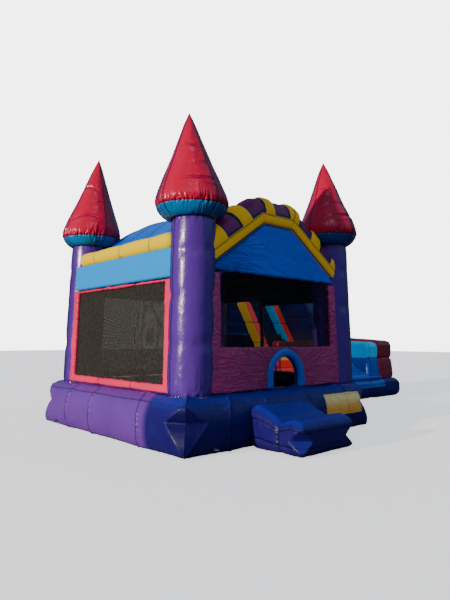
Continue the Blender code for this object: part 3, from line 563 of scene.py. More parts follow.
def smooth_curve(points, count, closed=True):
    """Catmull-Rom curve as count even points, their runs and the whole length."""
    points = np.array(points, float)
    ends = (points[-1:], points[:2]) if closed else (points[:1], points[-1:])
    padded = np.vstack([ends[0], points, ends[1]])
    t = np.linspace(0, 1, 24, endpoint=False)[:, None]
    parts = [0.5 * ((2 * b) + (-a + c) * t + (2 * a - 5 * b + 4 * c - d) * t ** 2
                    + (-a + 3 * b - 3 * c + d) * t ** 3)
             for a, b, c, d in zip(padded, padded[1:], padded[2:], padded[3:])]
    curve = np.concatenate(parts + [points[:1] if closed else points[-1:]])
    steps = np.linalg.norm(np.diff(curve, axis=0), axis=1)
    length = np.concatenate([[0], np.cumsum(steps)])
    run = np.linspace(0, length[-1], count + 1)[:-1] if closed \
        else np.linspace(0, length[-1], count)
    return np.stack([np.interp(run, length, axis) for axis in curve.T], 1), run, length[-1]


def rect(x0, x1, y0, y1):
    return [(x0, y0), (x1, y0), (x1, y1), (x0, y1)]


def round_section(width, count, power):
    """Points of a round outline; powers above 2 make it squarer."""
    out = []
    for i in range(count):
        turn = 2 * math.pi * i / count
        out.append([width / 2 * math.copysign(abs(v) ** (2 / power), v)
                    for v in (math.cos(turn), math.sin(turn))])
    return out


# ------------------------------------------------------------------ base tubes
# cross-section of one side tube: distance out from the centre, height
BASE_PROFILE = [
    (1.60, 0.004), (1.80, 0.002), (1.955, 0.004), (2.005, 0.045), (2.040, 0.13),
    (2.060, 0.24), (2.062, 0.35), (2.046, 0.46), (1.995, 0.570), (1.915, 0.645),
    (1.80, 0.692), (1.66, 0.697), (1.56, 0.672)]
BASE_REACH = max(out for out, _ in BASE_PROFILE)


def kite_reach(z, top=0.64, half=0.40, middle=0.40):
    """Half-width, at height z, of the kite-shaped patch that cuts a corner."""
    z = np.clip(z, 0, top)
    return np.where(z < middle, half * z / middle, half * unit((top - z) / (top - middle)))


def base_tube(side, quarter, seams, seed, cloths, stretch=(-9, -9)):
    """One side's tube, drawn at the front and turned by quarters about Z.

    seams run from -2 to 2 along the tube; stretch is the part that takes the second cloth.
    Returns the points and the cross-section.
    """
    outline, girth_row, girth_length = smooth_curve(BASE_PROFILE, int(1.80 / RES), closed=False)
    run_row = spaced(-BASE_REACH, BASE_REACH, [s * BASE_REACH / 2.0 for s in seams])
    share = (run_row / BASE_REACH)[:, None]
    run = share * outline[:, 0]
    out, height, girth = (row + 0 * run for row in (*outline.T, girth_row))
    points = np.stack([run, -out, height], -1)
    normal = -normals(points)
    inset = out - np.abs(run)
    sign = np.sign(run) + (run == 0)
    # at the mitre the normal turns to the diagonal, so both tubes meet
    blend = bell(inset, 0.10)[..., None]
    diagonal = np.stack([-normal[..., 1] * sign * DIAGONAL, normal[..., 1] * DIAGONAL,
                         normal[..., 2]], -1)
    normal = normal * (1 - blend) + diagonal * blend
    normal /= np.linalg.norm(normal, axis=-1, keepdims=True)
    outer = (out > 1.74) & (height < 0.66)
    free = unit((inset - 0.02) / 0.20)
    relief = Relief(run.shape)
    for k, s in enumerate(seams):
        relief.seam(np.abs(share * 2.0 + 0 * run - s), girth, seed + 31 * k,
                    gather=0.020 * free, pitch=0.065, reach=0.14, groove=0.014 * free,
                    width=0.020, dip=0.010 * free, dip_reach=0.16)
    for part, gather in ((0.69, 0.006), (0.275, 0.009)):
        relief.seam(np.abs(girth - girth_length * part), run, seed + 61,
                    gather=gather * free, pitch=0.05, reach=0.07, groove=0.003 * free,
                    width=0.010)
    patches = unit(noise(run / 0.5, girth / 0.4, seed + 12) * 3 - 1.3)
    relief.height += free * (
        0.018 * swell(run / 0.8, girth / 0.5, seed + 4)
        + 0.0045 * patches * crease(run / 0.07 + 1.5 * noise(run, girth, 9), girth / 0.34,
                                    seed + 8))
    # the mitre seam itself: short gathers above the kite
    clear = 1 - unit(kite_reach(height) * outer / 0.06)
    relief.seam(inset, girth, 77, gather=0.012 * bell(inset, 0.25) * clear, pitch=0.06,
                reach=0.12, groove=0.007 * clear, width=0.012, where=clear > 0.5)
    edge = unit(np.minimum(girth, girth_length - girth) / 0.08)
    points = points + normal * (relief.height * edge)[..., None]
    # flat kite-shaped patch that cuts the corner, with fine wrinkles across it
    kite = kite_reach(points[..., 2]) * outer
    limit = 2 * np.maximum(out, -points[..., 1]) - kite
    excess = (np.abs(points[..., 0]) - points[..., 1] - limit).clip(0, None) * (kite > 0.01)
    inside = unit(excess / 0.04) * (kite > 0.01)
    wrinkle = (0.0030 * (crease(inset / 0.40, points[..., 2] / 0.030, 3) + 0.2) * inside
               * unit(kite / 0.15) + 0.30 * excess * DIAGONAL)
    push = excess / 2 - wrinkle * DIAGONAL
    points[..., 0] -= sign * push
    points[..., 1] += push
    kite_gap = np.maximum(np.where(kite > 0.01, np.abs(inset - kite), 1.0), 0.009)
    relief.mark(kite_gap, girth)
    relief.gap = np.where((kite > 0.03) & (inset < kite - 0.01), np.maximum(kite_gap, 0.012),
                          relief.gap)
    points[..., 2] = np.maximum(points[..., 2], 0.0)
    turn = quarter * math.pi / 2
    cos, sin = round(math.cos(turn)), round(math.sin(turn))
    x, y, z = (points[..., k] for k in range(3))
    points = np.stack([cos * x - sin * y, sin * x + cos * y, z], -1)
    if side == "back":
        # the cloth lies flat under the zip, so the slider runs clear of it
        x, y, z = (points[..., k] for k in range(3))
        flat = (unit((0.44 - np.abs(x - 0.80)) / 0.06)
                * unit((0.075 - np.abs(z - 0.26)) / 0.035))
        points[..., 1] = np.where(y > 2.060, y * (1 - flat) + 2.060 * flat, y)
    middle = (run_row[1:] + run_row[:-1])[:, None] / 2 + 0 * girth_row[:-1]
    index = np.where((middle > stretch[0]) & (middle < stretch[1]), 1, 0)
    # kite faces on the deep purple take the still darker kite cloth: painted shade
    in_kite = (inside[:-1, :-1] > 0.5) & (inside[1:, 1:] > 0.5)
    index = np.where(in_kite & (index == cloths.index(PURPLE_DEEP)), len(cloths), index)
    soft_mesh("soft_base_" + side, points, grid_quads(*run.shape), cloths + [PURPLE_KITE],
              face_cloths=index, seam=relief.marks())
    return points, outline


front_points, front_outline = base_tube("front", 0, (-1.25, -0.55, 0.42, 1.40), 101,
                                        [PURPLE_DEEP])
base_tube("right", 1, (-1.02, 0.05, 1.05), 202, [PURPLE_SIDE, PURPLE_DEEP], (-2.1, -1.30))
base_tube("back", 2, (-0.95, 0.15, 1.05), 303, [LAVENDER, PURPLE_DEEP])
base_tube("left", 3, (-1.05, -0.29, 1.02), 404, [PURPLE_SIDE, PURPLE_DEEP], (1.30, 2.1))

# ------------------------------------------------------------------ round towers
TOWER_PLACE = 1.56       # tower centres from the castle's, in x and y
COLUMN_FOOT, COLUMN_HEAD, COLUMN_RADIUS = 0.640, 3.205, 0.327
# how far each tower stands or leans off true, and its spire's own build:
# tag, side in x and y, column foot offset, column head offset, spire foot offset,
# spire tip lean, extra height of tip, girth scale, cloth under the red
TOWERS = (
    ("fl", (-1, -1), (0.0, 0.0), (0.015, -0.015), (-0.004, 0.003), (-0.048, 0.043),
     0.02, 1.0, TEAL),
    # the front-right tower's ring takes the darker teal, a painted shadow
    ("fr", (1, -1), (0.070, -0.035), (0.085, -0.040), (0.055, -0.038), (-0.010, 0.004),
     -0.01, 1.0, TEAL_DEEP),
    ("bl", (-1, 1), (0.0, 0.0), (0.020, -0.015), (0.034, -0.030), (0.044, -0.035),
     0.135, 0.99, TEAL),
    ("br", (1, 1), (0.0, 0.0), (0.015, 0.02), (0.01, 0.01), (-0.03, 0.02), 0.0, 1.0, TEAL))


def column(tag, centre, foot, head, seed):
    rows = max(24, int((COLUMN_HEAD - COLUMN_FOOT) / RES))
    sides = int(2 * math.pi * COLUMN_RADIUS / RES)
    z, angle = np.meshgrid(np.linspace(COLUMN_FOOT, COLUMN_HEAD, rows),
                           np.linspace(0, 2 * math.pi, sides, endpoint=False), indexing="ij")
    rise, girth = z - COLUMN_FOOT, angle * COLUMN_RADIUS
    relief = Relief(z.shape)
    for k, ring in enumerate((0.052, 2.50)):
        relief.seam(np.abs(rise - ring), girth, seed + k, gather=0.020, pitch=0.060,
                    reach=0.17, groove=0.016, width=0.020, dip=0.016, dip_reach=0.13)
    # soft pinches where inner ties hold the tube
    for k, tie in enumerate((0.72, 1.36, 1.98)):
        gap = np.abs(rise - tie)
        pinch = np.clip(noise(angle * 1.3, k, seed) * 2.2 - 0.5, 0, 1.2)
        relief.height += (gathers(girth, gap, 0.004, 0.05, 0.05, seed + 15 + k)
                          - 0.014 * bell(gap, 0.09) * pinch)
    for k, at in enumerate((0.95, 2.95, 5.12)):
        relief.seam(angle_gap(angle, at) * COLUMN_RADIUS, rise, seed + 40 + k, gather=0.0060,
                    pitch=0.05, reach=0.06, groove=0.0085, width=0.014)
    radius = COLUMN_RADIUS + relief.height + 0.012 * swell(
        np.cos(angle) * 1.1 + 3, rise / 0.9 + np.sin(angle), seed + 2)
    share = unit(rise / (COLUMN_HEAD - COLUMN_FOOT))
    x, y = (centre[i] + foot[i] + (head[i] - foot[i]) * share + radius * turn
            for i, turn in enumerate((np.cos(angle), np.sin(angle))))
    soft_mesh("soft_column_" + tag, np.stack([x, y, z], -1), grid_quads(rows, sides, wrap=True),
              [PURPLE], seam=relief.marks())


# radius, height
SPIRE_PROFILE = [
    (0.300, 3.100), (0.350, 3.104), (0.405, 3.133), (0.462, 3.188), (0.508, 3.252),
    (0.533, 3.325), (0.531, 3.400), (0.514, 3.475), (0.486, 3.560), (0.444, 3.670),
    (0.394, 3.785), (0.320, 3.960), (0.250, 4.145), (0.177, 4.335), (0.092, 4.555),
    (0.004, 4.745)]
RED_FROM = 3.272         # height where the red cloth starts
GORES = 4                # panels sewn round the cone


def spire(tag, centre, foot, lean, extra_height, girth_scale, lower_cloth, seed):
    outline, rise_row, _ = smooth_curve([(r * girth_scale, z) for r, z in SPIRE_PROFILE],
                                        int(2.05 / SPIRE_RES), closed=False)
    sides = int(2 * math.pi * 0.5 / (SPIRE_RES * 0.62))
    angle_row = np.linspace(0, 2 * math.pi, sides, endpoint=False)
    base_radius = outline[:, 0][:, None]
    angle = angle_row + 0 * base_radius
    z = outline[:, 1][:, None] + 0 * angle
    rise = rise_row[:, None] + 0 * angle
    phase = ((angle - 0.03) / (2 * math.pi) * GORES) % 1.0
    gore_gap = np.minimum(phase, 1 - phase) * 2 * math.pi / GORES * base_radius
    # panels meet in seams on the axes and flatten a little between them
    power = np.interp(z, [3.15, 3.30, 3.60, 4.75], [2.0, 1.86, 1.66, 1.60])
    flat = (np.abs(np.cos(angle)) ** power + np.abs(np.sin(angle)) ** power) ** (-1 / power)
    relief = Relief(z.shape)
    relief.height += base_radius * (flat * 1.03 - 1)
    relief.seam(gore_gap, rise, seed + 3, gather=0.0085 * unit(base_radius / 0.25),
                pitch=0.055, reach=0.06, width=0.015,
                groove=0.015 * np.interp(z, [3.2, 4.5, 4.74], [1, 0.6, 0]))
    red_run = np.interp(RED_FROM, np.maximum.accumulate(outline[:, 1]), rise_row)
    for ring, gather, pitch, reach, groove in ((red_run, 0.046, 0.034, 0.075, 0.013),
                                               (0.03, 0.020, 0.050, 0.10, 0.004)):
        relief.seam(np.abs(rise - ring), angle * 0.5, seed + 11,
                    gather=gather * np.where(rise > ring, 1.0, 0.75), pitch=pitch,
                    reach=reach, groove=groove)
    # slack creases that ring the cone, each over part of the way round: height, depth
    for k, (crease_z, depth) in enumerate(((4.17, 0.020), (3.62, 0.030), (3.86, 0.014))):
        at = 3.9 + 0.45 * k + 0.3 * ((seed * (k + 1)) % 3 - 1)
        turn = angle_gap(angle, at)
        gap = z - crease_z + 0.10 * turn ** 2 + 0.02 * (noise(angle * 3, k, seed) - 0.5)
        relief.height += (depth * (0.6 * bell(gap + 0.06, 0.05) - bell(gap, 0.022))
                          * bell(turn, 0.55) * unit(base_radius / 0.2))
    relief.height += (0.022 * swell(np.cos(angle) * 1.5 + 2, z * 1.8 + np.sin(angle), seed + 2)
                      * unit(base_radius / 0.15))
    radius = np.maximum(base_radius + relief.height, 0.003)
    share = unit((z - 3.3) / 1.45)
    x, y = (centre[i] + foot[i] + lean[i] * share + radius * turn
            for i, turn in enumerate((np.cos(angle), np.sin(angle))))
    below_red = (outline[:-1, 1] + outline[1:, 1]) / 2 <= RED_FROM
    soft_mesh("soft_spire_" + tag, np.stack([x, y, z + extra_height * share], -1),
              grid_quads(len(outline), sides, wrap=True), [SPIRE_RED, lower_cloth],
              face_cloths=np.repeat(below_red, sides), seam=relief.marks())


for i, (tag, side, foot, head, spire_foot, spire_lean, *build) in enumerate(TOWERS):
    centre = [s * TOWER_PLACE for s in side]
    column(tag, centre, foot, head, 11 + 13 * i)
    spire(tag, centre, spire_foot, spire_lean, *build, 5 + 17 * i)


# ------------------------------------------------------------------ kinds of soft piece
def pillow(name, width, height, thickness, layout, cloths, seed, node="", gather=0.016,
           reach=0.10, edge=0.06, seams=(), quilt=0.010):
    """A stitched rectangle of two sheets; layout turns x, y and rise into points.

    seams run along x at the given y; each sheet takes its own cloth if there are two.
    """
    pitch = 0.05
    x, y = np.meshgrid(spaced(0, width), spaced(0, height, seams), indexing="ij")
    side_x, side_y = np.minimum(x, width - x), np.minimum(y, height - y)
    inset = np.minimum(side_x, side_y)
    round_x, round_y = (np.sqrt(1 - (1 - unit(side / edge)) ** 2) for side in (side_x, side_y))
    points, faces = [], []
    for k, sign in enumerate((1, -1)):
        sheet_seed = seed + 50 * k
        relief = Relief(x.shape)
        relief.height += (gathers(y + 3.1, side_x, gather, pitch, reach, sheet_seed)
                          + gathers(x + 1.7, side_y, gather, pitch, reach, sheet_seed + 7)
                          + 0.010 * swell(x / 0.6, y / 0.6, sheet_seed + 2))
        for j, at in enumerate(seams):
            relief.seam(np.abs(y - at), x, sheet_seed + 30 + j, gather=gather * 0.7,
                        pitch=pitch, reach=reach * 0.8, groove=quilt, width=0.018, dip=quilt)
        rise = thickness / 2 * round_x * round_y + relief.height * unit(inset / 0.02)
        points.append(layout(x, y, sign * rise).reshape(-1, 3))
        faces.append(grid_quads(*x.shape, base=k * x.size))
    gap = np.minimum(inset, relief.gap).ravel()
    run = np.where(side_x < side_y, y, x).ravel()
    index = np.repeat([0, 1], len(faces[0])) if len(cloths) > 1 else None
    soft_mesh(name, np.vstack(points), np.vstack(faces), cloths, node, index,
              seam=(np.tile(gap, 2), np.tile(run, 2)))


def tube(name, path, section, cloths, seed, node="", seams=(), along=(), gather=0.016,
         pitch=0.055, reach=0.11, groove=0.012, dip=0.010, waves=0.012, end_round=0.0,
         spacing=RES, shape=None, patch=None):
    """A closed section (sideways, up) swept along a path and capped.

    seams are runs along the path, along are shares of the girth. shape(run, share) adds
    height and patch(run, girth) gives the pd attribute.
    """
    path = np.array(path, float)
    lengths = np.linalg.norm(np.diff(path, axis=0), axis=1)
    knots = np.concatenate([[0], np.cumsum(lengths)])
    run_row = spaced(0, knots[-1], list(seams) + list(knots[1:-1]), spacing)
    centre = np.stack([np.interp(run_row, knots, axis) for axis in path.T], 1)
    # tangents turn smoothly through each knee
    middle = (knots[:-1] + knots[1:]) / 2
    stations = [knots[0]]
    for i in range(1, len(knots) - 1):
        stations += [max(knots[i] - 0.06, middle[i - 1]), min(knots[i] + 0.06, middle[i])]
    stations.append(knots[-1])
    straight = np.repeat(np.diff(path, axis=0) / lengths[:, None], 2, axis=0)
    tangent = np.stack([np.interp(run_row, stations, axis) for axis in straight.T], 1)
    tangent /= np.linalg.norm(tangent, axis=1, keepdims=True)
    sideways = np.cross(tangent, np.array((0, 0, 1.0)))
    sideways /= np.linalg.norm(sideways, axis=1, keepdims=True)
    upward = np.cross(sideways, tangent)
    perimeter = np.linalg.norm(np.diff(np.vstack([section, section[:1]]), axis=0), axis=1).sum()
    ring, girth_row, girth_length = smooth_curve(section, max(12, int(perimeter / spacing)))
    run, girth = np.meshgrid(run_row, girth_row, indexing="ij")
    relief = Relief(run.shape)
    for k, at in enumerate(seams):
        relief.seam(np.abs(run - at), girth, seed + 31 * k, gather, pitch, reach, groove,
                    dip=dip, dip_reach=0.18)
    for k, share in enumerate(along):
        gap = np.abs(girth - share * girth_length)
        relief.seam(np.minimum(gap, girth_length - gap), run, seed + 211 + 37 * k,
                    gather * 0.8, pitch, reach, groove * 0.7)
    height = relief.height + waves * swell(run / 0.6, girth / 0.5, seed + 4)
    if shape:
        height += shape(run, girth / girth_length)
    middle = np.array(section, float).mean(0)
    arm = ring - middle
    outward = arm / np.linalg.norm(arm, axis=1)[:, None]
    shrink = np.ones_like(run_row)
    if end_round:
        for distance in (run_row, knots[-1] - run_row):
            nearness = unit(1 - distance / end_round)
            shrink = np.minimum(shrink, np.sqrt(1 - nearness ** 2 * 0.985))
    flat = (arm * shrink[:, None, None]
            + outward * (height * shrink[:, None])[..., None]) + middle
    points = (centre[:, None, :] + flat[..., 0:1] * sideways[:, None, :]
              + flat[..., 1:2] * upward[:, None, :])
    rows, sides = run.shape
    # a fan of triangles closes each end
    faces = [grid_quads(rows, sides, wrap=True)]
    j = np.arange(sides)
    for k, row in enumerate((0, rows - 1)):
        hub = np.full(sides, rows * sides + k)
        faces.append(np.stack([row * sides + j, row * sides + (j + 1) % sides, hub, hub], 1))
    hubs = [points[0].mean(0), points[-1].mean(0)]
    seam = (np.append(relief.gap, [0.3, 0.3]), np.append(relief.run, [0, 0]))
    extra = {"pd": np.append(patch(run, girth), [-1.0, -1.0])} if patch else None
    soft_mesh(name, np.vstack([points.reshape(-1, 3), hubs]), np.vstack(faces), cloths,
              node, seam=seam, weld=0.0002, extra=extra)


def outline_distance(points, loops):
    """Distance to the outlines (positive inside), with the nearest outline point, the
    inward normal there and the run along the outline. The first loop is the outside,
    the others are holes."""
    best, near = np.full(len(points), 1e9), np.zeros_like(points)
    inward, run = np.zeros_like(points), np.zeros(len(points))
    inside = np.zeros(len(points), bool)
    start_run = 0.0
    for k, loop in enumerate(loops):
        loop = np.array(loop, float)
        after = np.roll(loop, -1, 0)
        area = np.sum(loop[:, 0] * after[:, 1] - after[:, 0] * loop[:, 1])
        if (area < 0) == (k == 0):
            loop = loop[::-1]
        for start, end in zip(loop, np.roll(loop, -1, 0)):
            edge = end - start
            length = math.hypot(*edge)
            share = unit(((points - start) @ edge) / length ** 2)
            foot = start + share[:, None] * edge
            distance = np.hypot(*(points - foot).T)
            closer = distance < best - 1e-9
            best = np.where(closer, distance, best)
            near[closer] = foot[closer]
            inward[closer] = (-edge[1] / length, edge[0] / length)
            run = np.where(closer, start_run + share * length, run)
            if start[1] != end[1]:
                spans = (start[1] > points[:, 1]) != (end[1] > points[:, 1])
                cross_x = start[0] + (points[:, 1] - start[1]) * edge[0] / edge[1]
                inside ^= spans & (points[:, 0] < cross_x)
            start_run += length
        start_run += 0.37
    return np.where(inside, best, -best), near, inward, run


# planes of an outline, as its u and w axes; each is named for the way u x w faces
TO_RIGHT = ((0, 1, 0), (0, 0, 1))
TO_LEFT = ((0, -1, 0), (0, 0, 1))
TO_FRONT = ((1, 0, 0), (0, 0, 1))
TO_BACK = ((-1, 0, 0), (0, 0, 1))
UPWARD = ((1, 0, 0), (0, 1, 0))


def slab(name, outline, thickness, facing, offset, cloths, seed, slot, node="", hole=None,
         shift=0.0, edge=0.05, edge_depth=None, spacing=RES, gather=0.012, pitch=0.05,
         reach=0.09, seams_u=(), seams_w=(), rim_seams=(), quilt=0.010, wave=0.010, fine=None,
         face_cloth=lambda u, w, side: 0, rim_cloth=lambda u, w, depth, inward: 0,
         warp=lambda points: points):
    """A piece cut to an outline in the u-w plane and filled to a thickness.

    Its mid-plane lies at offset along the facing direction, shifted along u. seams_u and
    seams_w cross both faces at fixed u or w; rim_seams run round the rim at fixed depth.
    fine(u, w, inset) adds height. face_cloth and rim_cloth pick the cloth: side is 1 for
    the face that looks the facing way and -1 for the other.
    """
    u_axis, w_axis = (np.array(axis, float) for axis in facing)
    normal = np.cross(u_axis, w_axis)
    edge_depth = min(edge_depth or edge, thickness / 2)
    rim_z = thickness / 2 - edge_depth
    low, high = np.array(outline).min(0), np.array(outline).max(0)
    counts = [max(2, int(round(size / spacing)) + 1) for size in high - low]
    u_row, w_row = (np.linspace(low[i], high[i], counts[i]) for i in (0, 1))
    cell = min(u_row[1] - u_row[0], w_row[1] - w_row[0])
    plane = np.stack(np.meshgrid(u_row, w_row, indexing="ij"), -1).reshape(-1, 2)
    loops = [outline] + ([hole] if hole else [])
    inset, near, inward, run = outline_distance(plane, loops)
    # points close to the outline snap onto it; those well outside go
    snap = inset < 0.38 * cell
    quads = grid_quads(*counts)
    quads = quads[(~snap)[quads].any(1) & (inset[quads] > -1.7 * cell).all(1)]
    away = ((plane - near) / np.maximum(np.abs(inset), 1e-9)[:, None]
            * np.sign(inset)[:, None])
    inward = np.where((np.abs(inset)[:, None] > 1e-6) & ~snap[:, None], away, inward)
    plane = np.where(snap[:, None], near, plane)
    inset = np.where(snap, 0.0, inset)
    # the edge rolls over in a quarter ellipse
    roll = np.pi / 2 * unit(inset / edge)
    move = np.where(inset < edge, edge * (1 - np.cos(roll)) - inset, 0.0)
    rolled = plane + inward * move[:, None]
    rise = rim_z + edge_depth * np.sin(roll)
    used = np.unique(quads)
    renumber = np.full(len(plane), -1)
    renumber[used] = np.arange(len(used))
    quads = renumber[quads]
    plane, rolled, inset, inward, run, rise, roll = (
        values[used] for values in (plane, rolled, inset, inward, run, rise, roll))
    count = len(plane)

    def seam_relief(spots, seam_seed):
        relief = Relief(len(spots))
        lines = [(0, at) for at in seams_u] + [(1, at) for at in seams_w]
        for k, (axis, at) in enumerate(lines):
            relief.seam(np.abs(spots[:, axis] - at), spots[:, 1 - axis], seam_seed + 20 + k,
                        gather * 0.8, pitch, reach * 0.8, quilt, dip=quilt * 1.3)
        return relief

    live = unit(inset / 0.02) if rim_z <= 0 else np.ones(count)
    out = np.stack([-inward[:, 0] * np.cos(roll), -inward[:, 1] * np.cos(roll),
                    np.sin(roll)], 1)
    u, w = plane.T
    points, gaps, runs = [], [], []
    for side, face_seed in ((1, seed), (-1, seed + 50)):
        relief = seam_relief(plane, face_seed)
        height = relief.height + gathers(run, inset, gather, pitch, reach, face_seed)
        if rim_z > 0:
            height -= 0.006 * bell(inset, 0.012)
        height += wave * swell(u / 0.6, w / 0.6, face_seed + 2) * 2
        if fine:
            height += fine(u, w, inset)
        face = np.column_stack([rolled, rise]) + out * (height * live)[:, None]
        points.append(face * [1, 1, side])
        relief.gap, relief.run = (np.where(inset < relief.gap, a, b) for a, b in
                                  ((inset, relief.gap), (run, relief.run)))
        gaps.append(relief.gap)
        runs.append(relief.run)
    middle = rolled[quads].mean(1)
    index = [np.full(len(quads), face_cloth(*middle.T, side)) for side in (1, -1)]
    faces = [quads, quads[:, ::-1] + count]
    if rim_z > 0.004:
        # rim between the two faces
        edges = np.concatenate([quads[:, [i, (i + 1) % 4]] for i in range(4)])
        _, inverse, uses = np.unique(np.sort(edges, axis=1), axis=0, return_inverse=True,
                                     return_counts=True)
        border = edges[uses[inverse.reshape(-1)] == 1]
        verts = np.unique(border)
        position = np.full(count, -1)
        position[verts] = np.arange(len(verts))
        rows = max(1, int(math.ceil(2 * rim_z / spacing)))
        depths = np.linspace(rim_z, -rim_z, rows + 1)[1:-1]
        ids = [verts]
        for row, depth in enumerate(depths):
            side_gap = min(rim_z - depth, rim_z + depth)
            relief = seam_relief(plane[verts], seed + 90)
            seam_run = relief.run
            relief.height = (
                relief.height * min(1, side_gap / 0.03)
                + gathers(run[verts], side_gap, gather, pitch, reach, seed + 70)
                + wave * swell(run[verts] / 0.6, depth / 0.6, seed + 71) * 2)
            for k, at in enumerate(rim_seams):
                relief.seam(np.full(len(verts), abs(depth - at)), run[verts], seed + 80 + k,
                            gather, pitch, reach, quilt, dip=quilt)
            spots = plane[verts] - inward[verts] * relief.height[:, None]
            points.append(np.column_stack([spots, np.full(len(verts), depth)]))
            gaps.append(np.minimum(relief.gap, side_gap + edge * 0.5))
            runs.append(np.where(relief.gap < side_gap, seam_run, run[verts]))
            ids.append(2 * count + row * len(verts) + np.arange(len(verts)))
        ids.append(verts + count)
        a, b = position[border].T
        mid_u, mid_w = ((plane[border[:, 0]] + plane[border[:, 1]]) / 2).T
        mid_inward = (inward[border[:, 0]] + inward[border[:, 1]]) / 2
        levels = np.concatenate([[rim_z], depths, [-rim_z]])
        for k, (upper, lower) in enumerate(zip(ids, ids[1:])):
            faces.append(np.stack([upper[b], upper[a], lower[a], lower[b]], 1))
            depth = (levels[k] + levels[k + 1]) / 2
            index.append(np.full(len(border), rim_cloth(mid_u, mid_w, depth, mid_inward)))
    local = np.vstack(points)
    placed = (normal * offset + u_axis * shift + local[:, 0:1] * u_axis
              + local[:, 1:2] * w_axis + local[:, 2:3] * normal)
    soft_mesh(name, warp(placed), np.vstack(faces), cloths, node,
              np.concatenate(index), (np.concatenate(gaps), np.concatenate(runs)))


# ------------------------------------------------------------------ side beams and bands
# side, sign in x, seed, beam cloth, band's lower edge, band height
for side, sign, seed, beam_cloth, band_z, band_height in (
        ("left", -1, 21, YELLOW_TOP, 2.262, 0.445),
        ("right", 1, 22, YELLOW_IN, 2.222, 0.550)):
    tube("soft_beam_" + side, [(sign * 1.715, -1.40, 2.812), (sign * 1.715, 1.40, 2.812)],
         round_section(0.27, 12, 2.2), [beam_cloth], seed,
         seams=(0.55, 1.40, 2.25), along=(0.72,), gather=0.014, end_round=0.16, dip=0.012)

    def band_layout(x, y, rise):
        return np.stack([sign * (1.795 + rise), sign * (x - 1.46), band_z + y], -1)
    # the band's inner sheet is near-black: painted shade
    pillow("soft_band_" + side, 2.92, band_height, 0.105, band_layout, [CYAN, INNER], seed + 3,
           gather=0.018, reach=0.09, edge=0.035)

# ------------------------------------------------------------------ window frames and nets
WALL = dict(thickness=0.105, offset=1.80, edge=0.030, edge_depth=0.052, reach=0.06)
WALL_FOOT = 0.70
OPENING_FOOT, OPENING_TOP = 0.825, 2.205


def cross_bands(u, w, inset):
    return 0.004 * crease((u + w) / 0.06, (u - w) / 0.3, 5) * (inset < 0.14)


# side, facing, seed, frame's u start and end, top, opening's u end, seams
for side, facing, seed, start, end, top, hole_end, seams in (
        ("left", TO_LEFT, 31, -1.49, 1.49, 2.262, 1.295, (-0.45, 0.50)),
        ("right", TO_RIGHT, 32, -1.49, 0.285, 2.262, 0.225, (-0.55,)),
        ("back", TO_BACK, 33, -1.45, 1.45, 2.400, 1.255, (-0.45, 0.50))):
    # the face towards the inside is near-black: painted shade
    slab("soft_frame_" + side, rect(start, end, WALL_FOOT, top), facing=facing,
         hole=rect(start + 0.195, hole_end, OPENING_FOOT, OPENING_TOP),
         cloths=[CORAL, INNER], seed=seed, slot="vinyl_coral", node="window_frame_" + side,
         gather=0.013, pitch=0.055, seams_u=seams, quilt=0.006, fine=cross_bands, wave=0.006,
         face_cloth=lambda u, w, side: int(side < 0), **WALL)


def netting(side, cloth, seed, sag=0.020):
    node = "netting_" + side
    low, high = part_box(node)
    thin = 0 if (high[0] - low[0]) < (high[1] - low[1]) else 1
    wide = 1 - thin
    # the edges run on into the frame round the net
    rows = [spaced(low[k] - 0.03, high[k] + 0.03, spacing=0.045) for k in (wide, 2)]
    across, up = np.meshgrid(*rows, indexing="ij")
    inset = np.minimum(np.minimum(across - rows[0][0], rows[0][-1] - across),
                       np.minimum(up - rows[1][0], rows[1][-1] - up))
    points = np.zeros(across.shape + (3,))
    points[..., thin] = (
        (low[thin] + high[thin]) / 2
        + sag * unit(inset / 0.25) * (clouds(across / 0.7, up / 0.8, seed) - 0.35)
        + 0.006 * unit(inset / 0.05) * swell(across / 0.12 + up / 0.3, up / 0.5, seed + 1))
    points[..., wide], points[..., 2] = across, up
    # the right net's top strip takes the near-black inside cloth: painted shade
    painted_shade_strip = np.where(up[:-1, :-1] > 2.10, 1, 0) if side == "right" else None
    soft_mesh("net_" + side, points, grid_quads(*across.shape), [cloth, INNER],
              node, face_cloths=painted_shade_strip, weld=0)


DENSE_NET = net("safety_mesh", (0.013, 0.0115, 0.009), cover=0.95)
FINE_NET = net("safety_mesh_fine", (0.010, 0.010, 0.014), cover=0.26)
OPEN_NET = net("safety_mesh_open", (0.008, 0.007, 0.010), cover=0.34)
netting("left", DENSE_NET, 41)
netting("right", FINE_NET, 42)
netting("back", DENSE_NET, 43)
netting("front", OPEN_NET, 44, sag=0.010)

# ------------------------------------------------------------------ front wall
DOOR_X = 0.08


def door_outline(half, foot, top, count=16):
    """An upright opening with a round head."""
    turns = [math.pi * i / count for i in range(count + 1)]
    head = [(DOOR_X - half * math.cos(t), top - half + half * math.sin(t)) for t in turns]
    return [(DOOR_X - half, foot), *head, (DOOR_X + half, foot)]


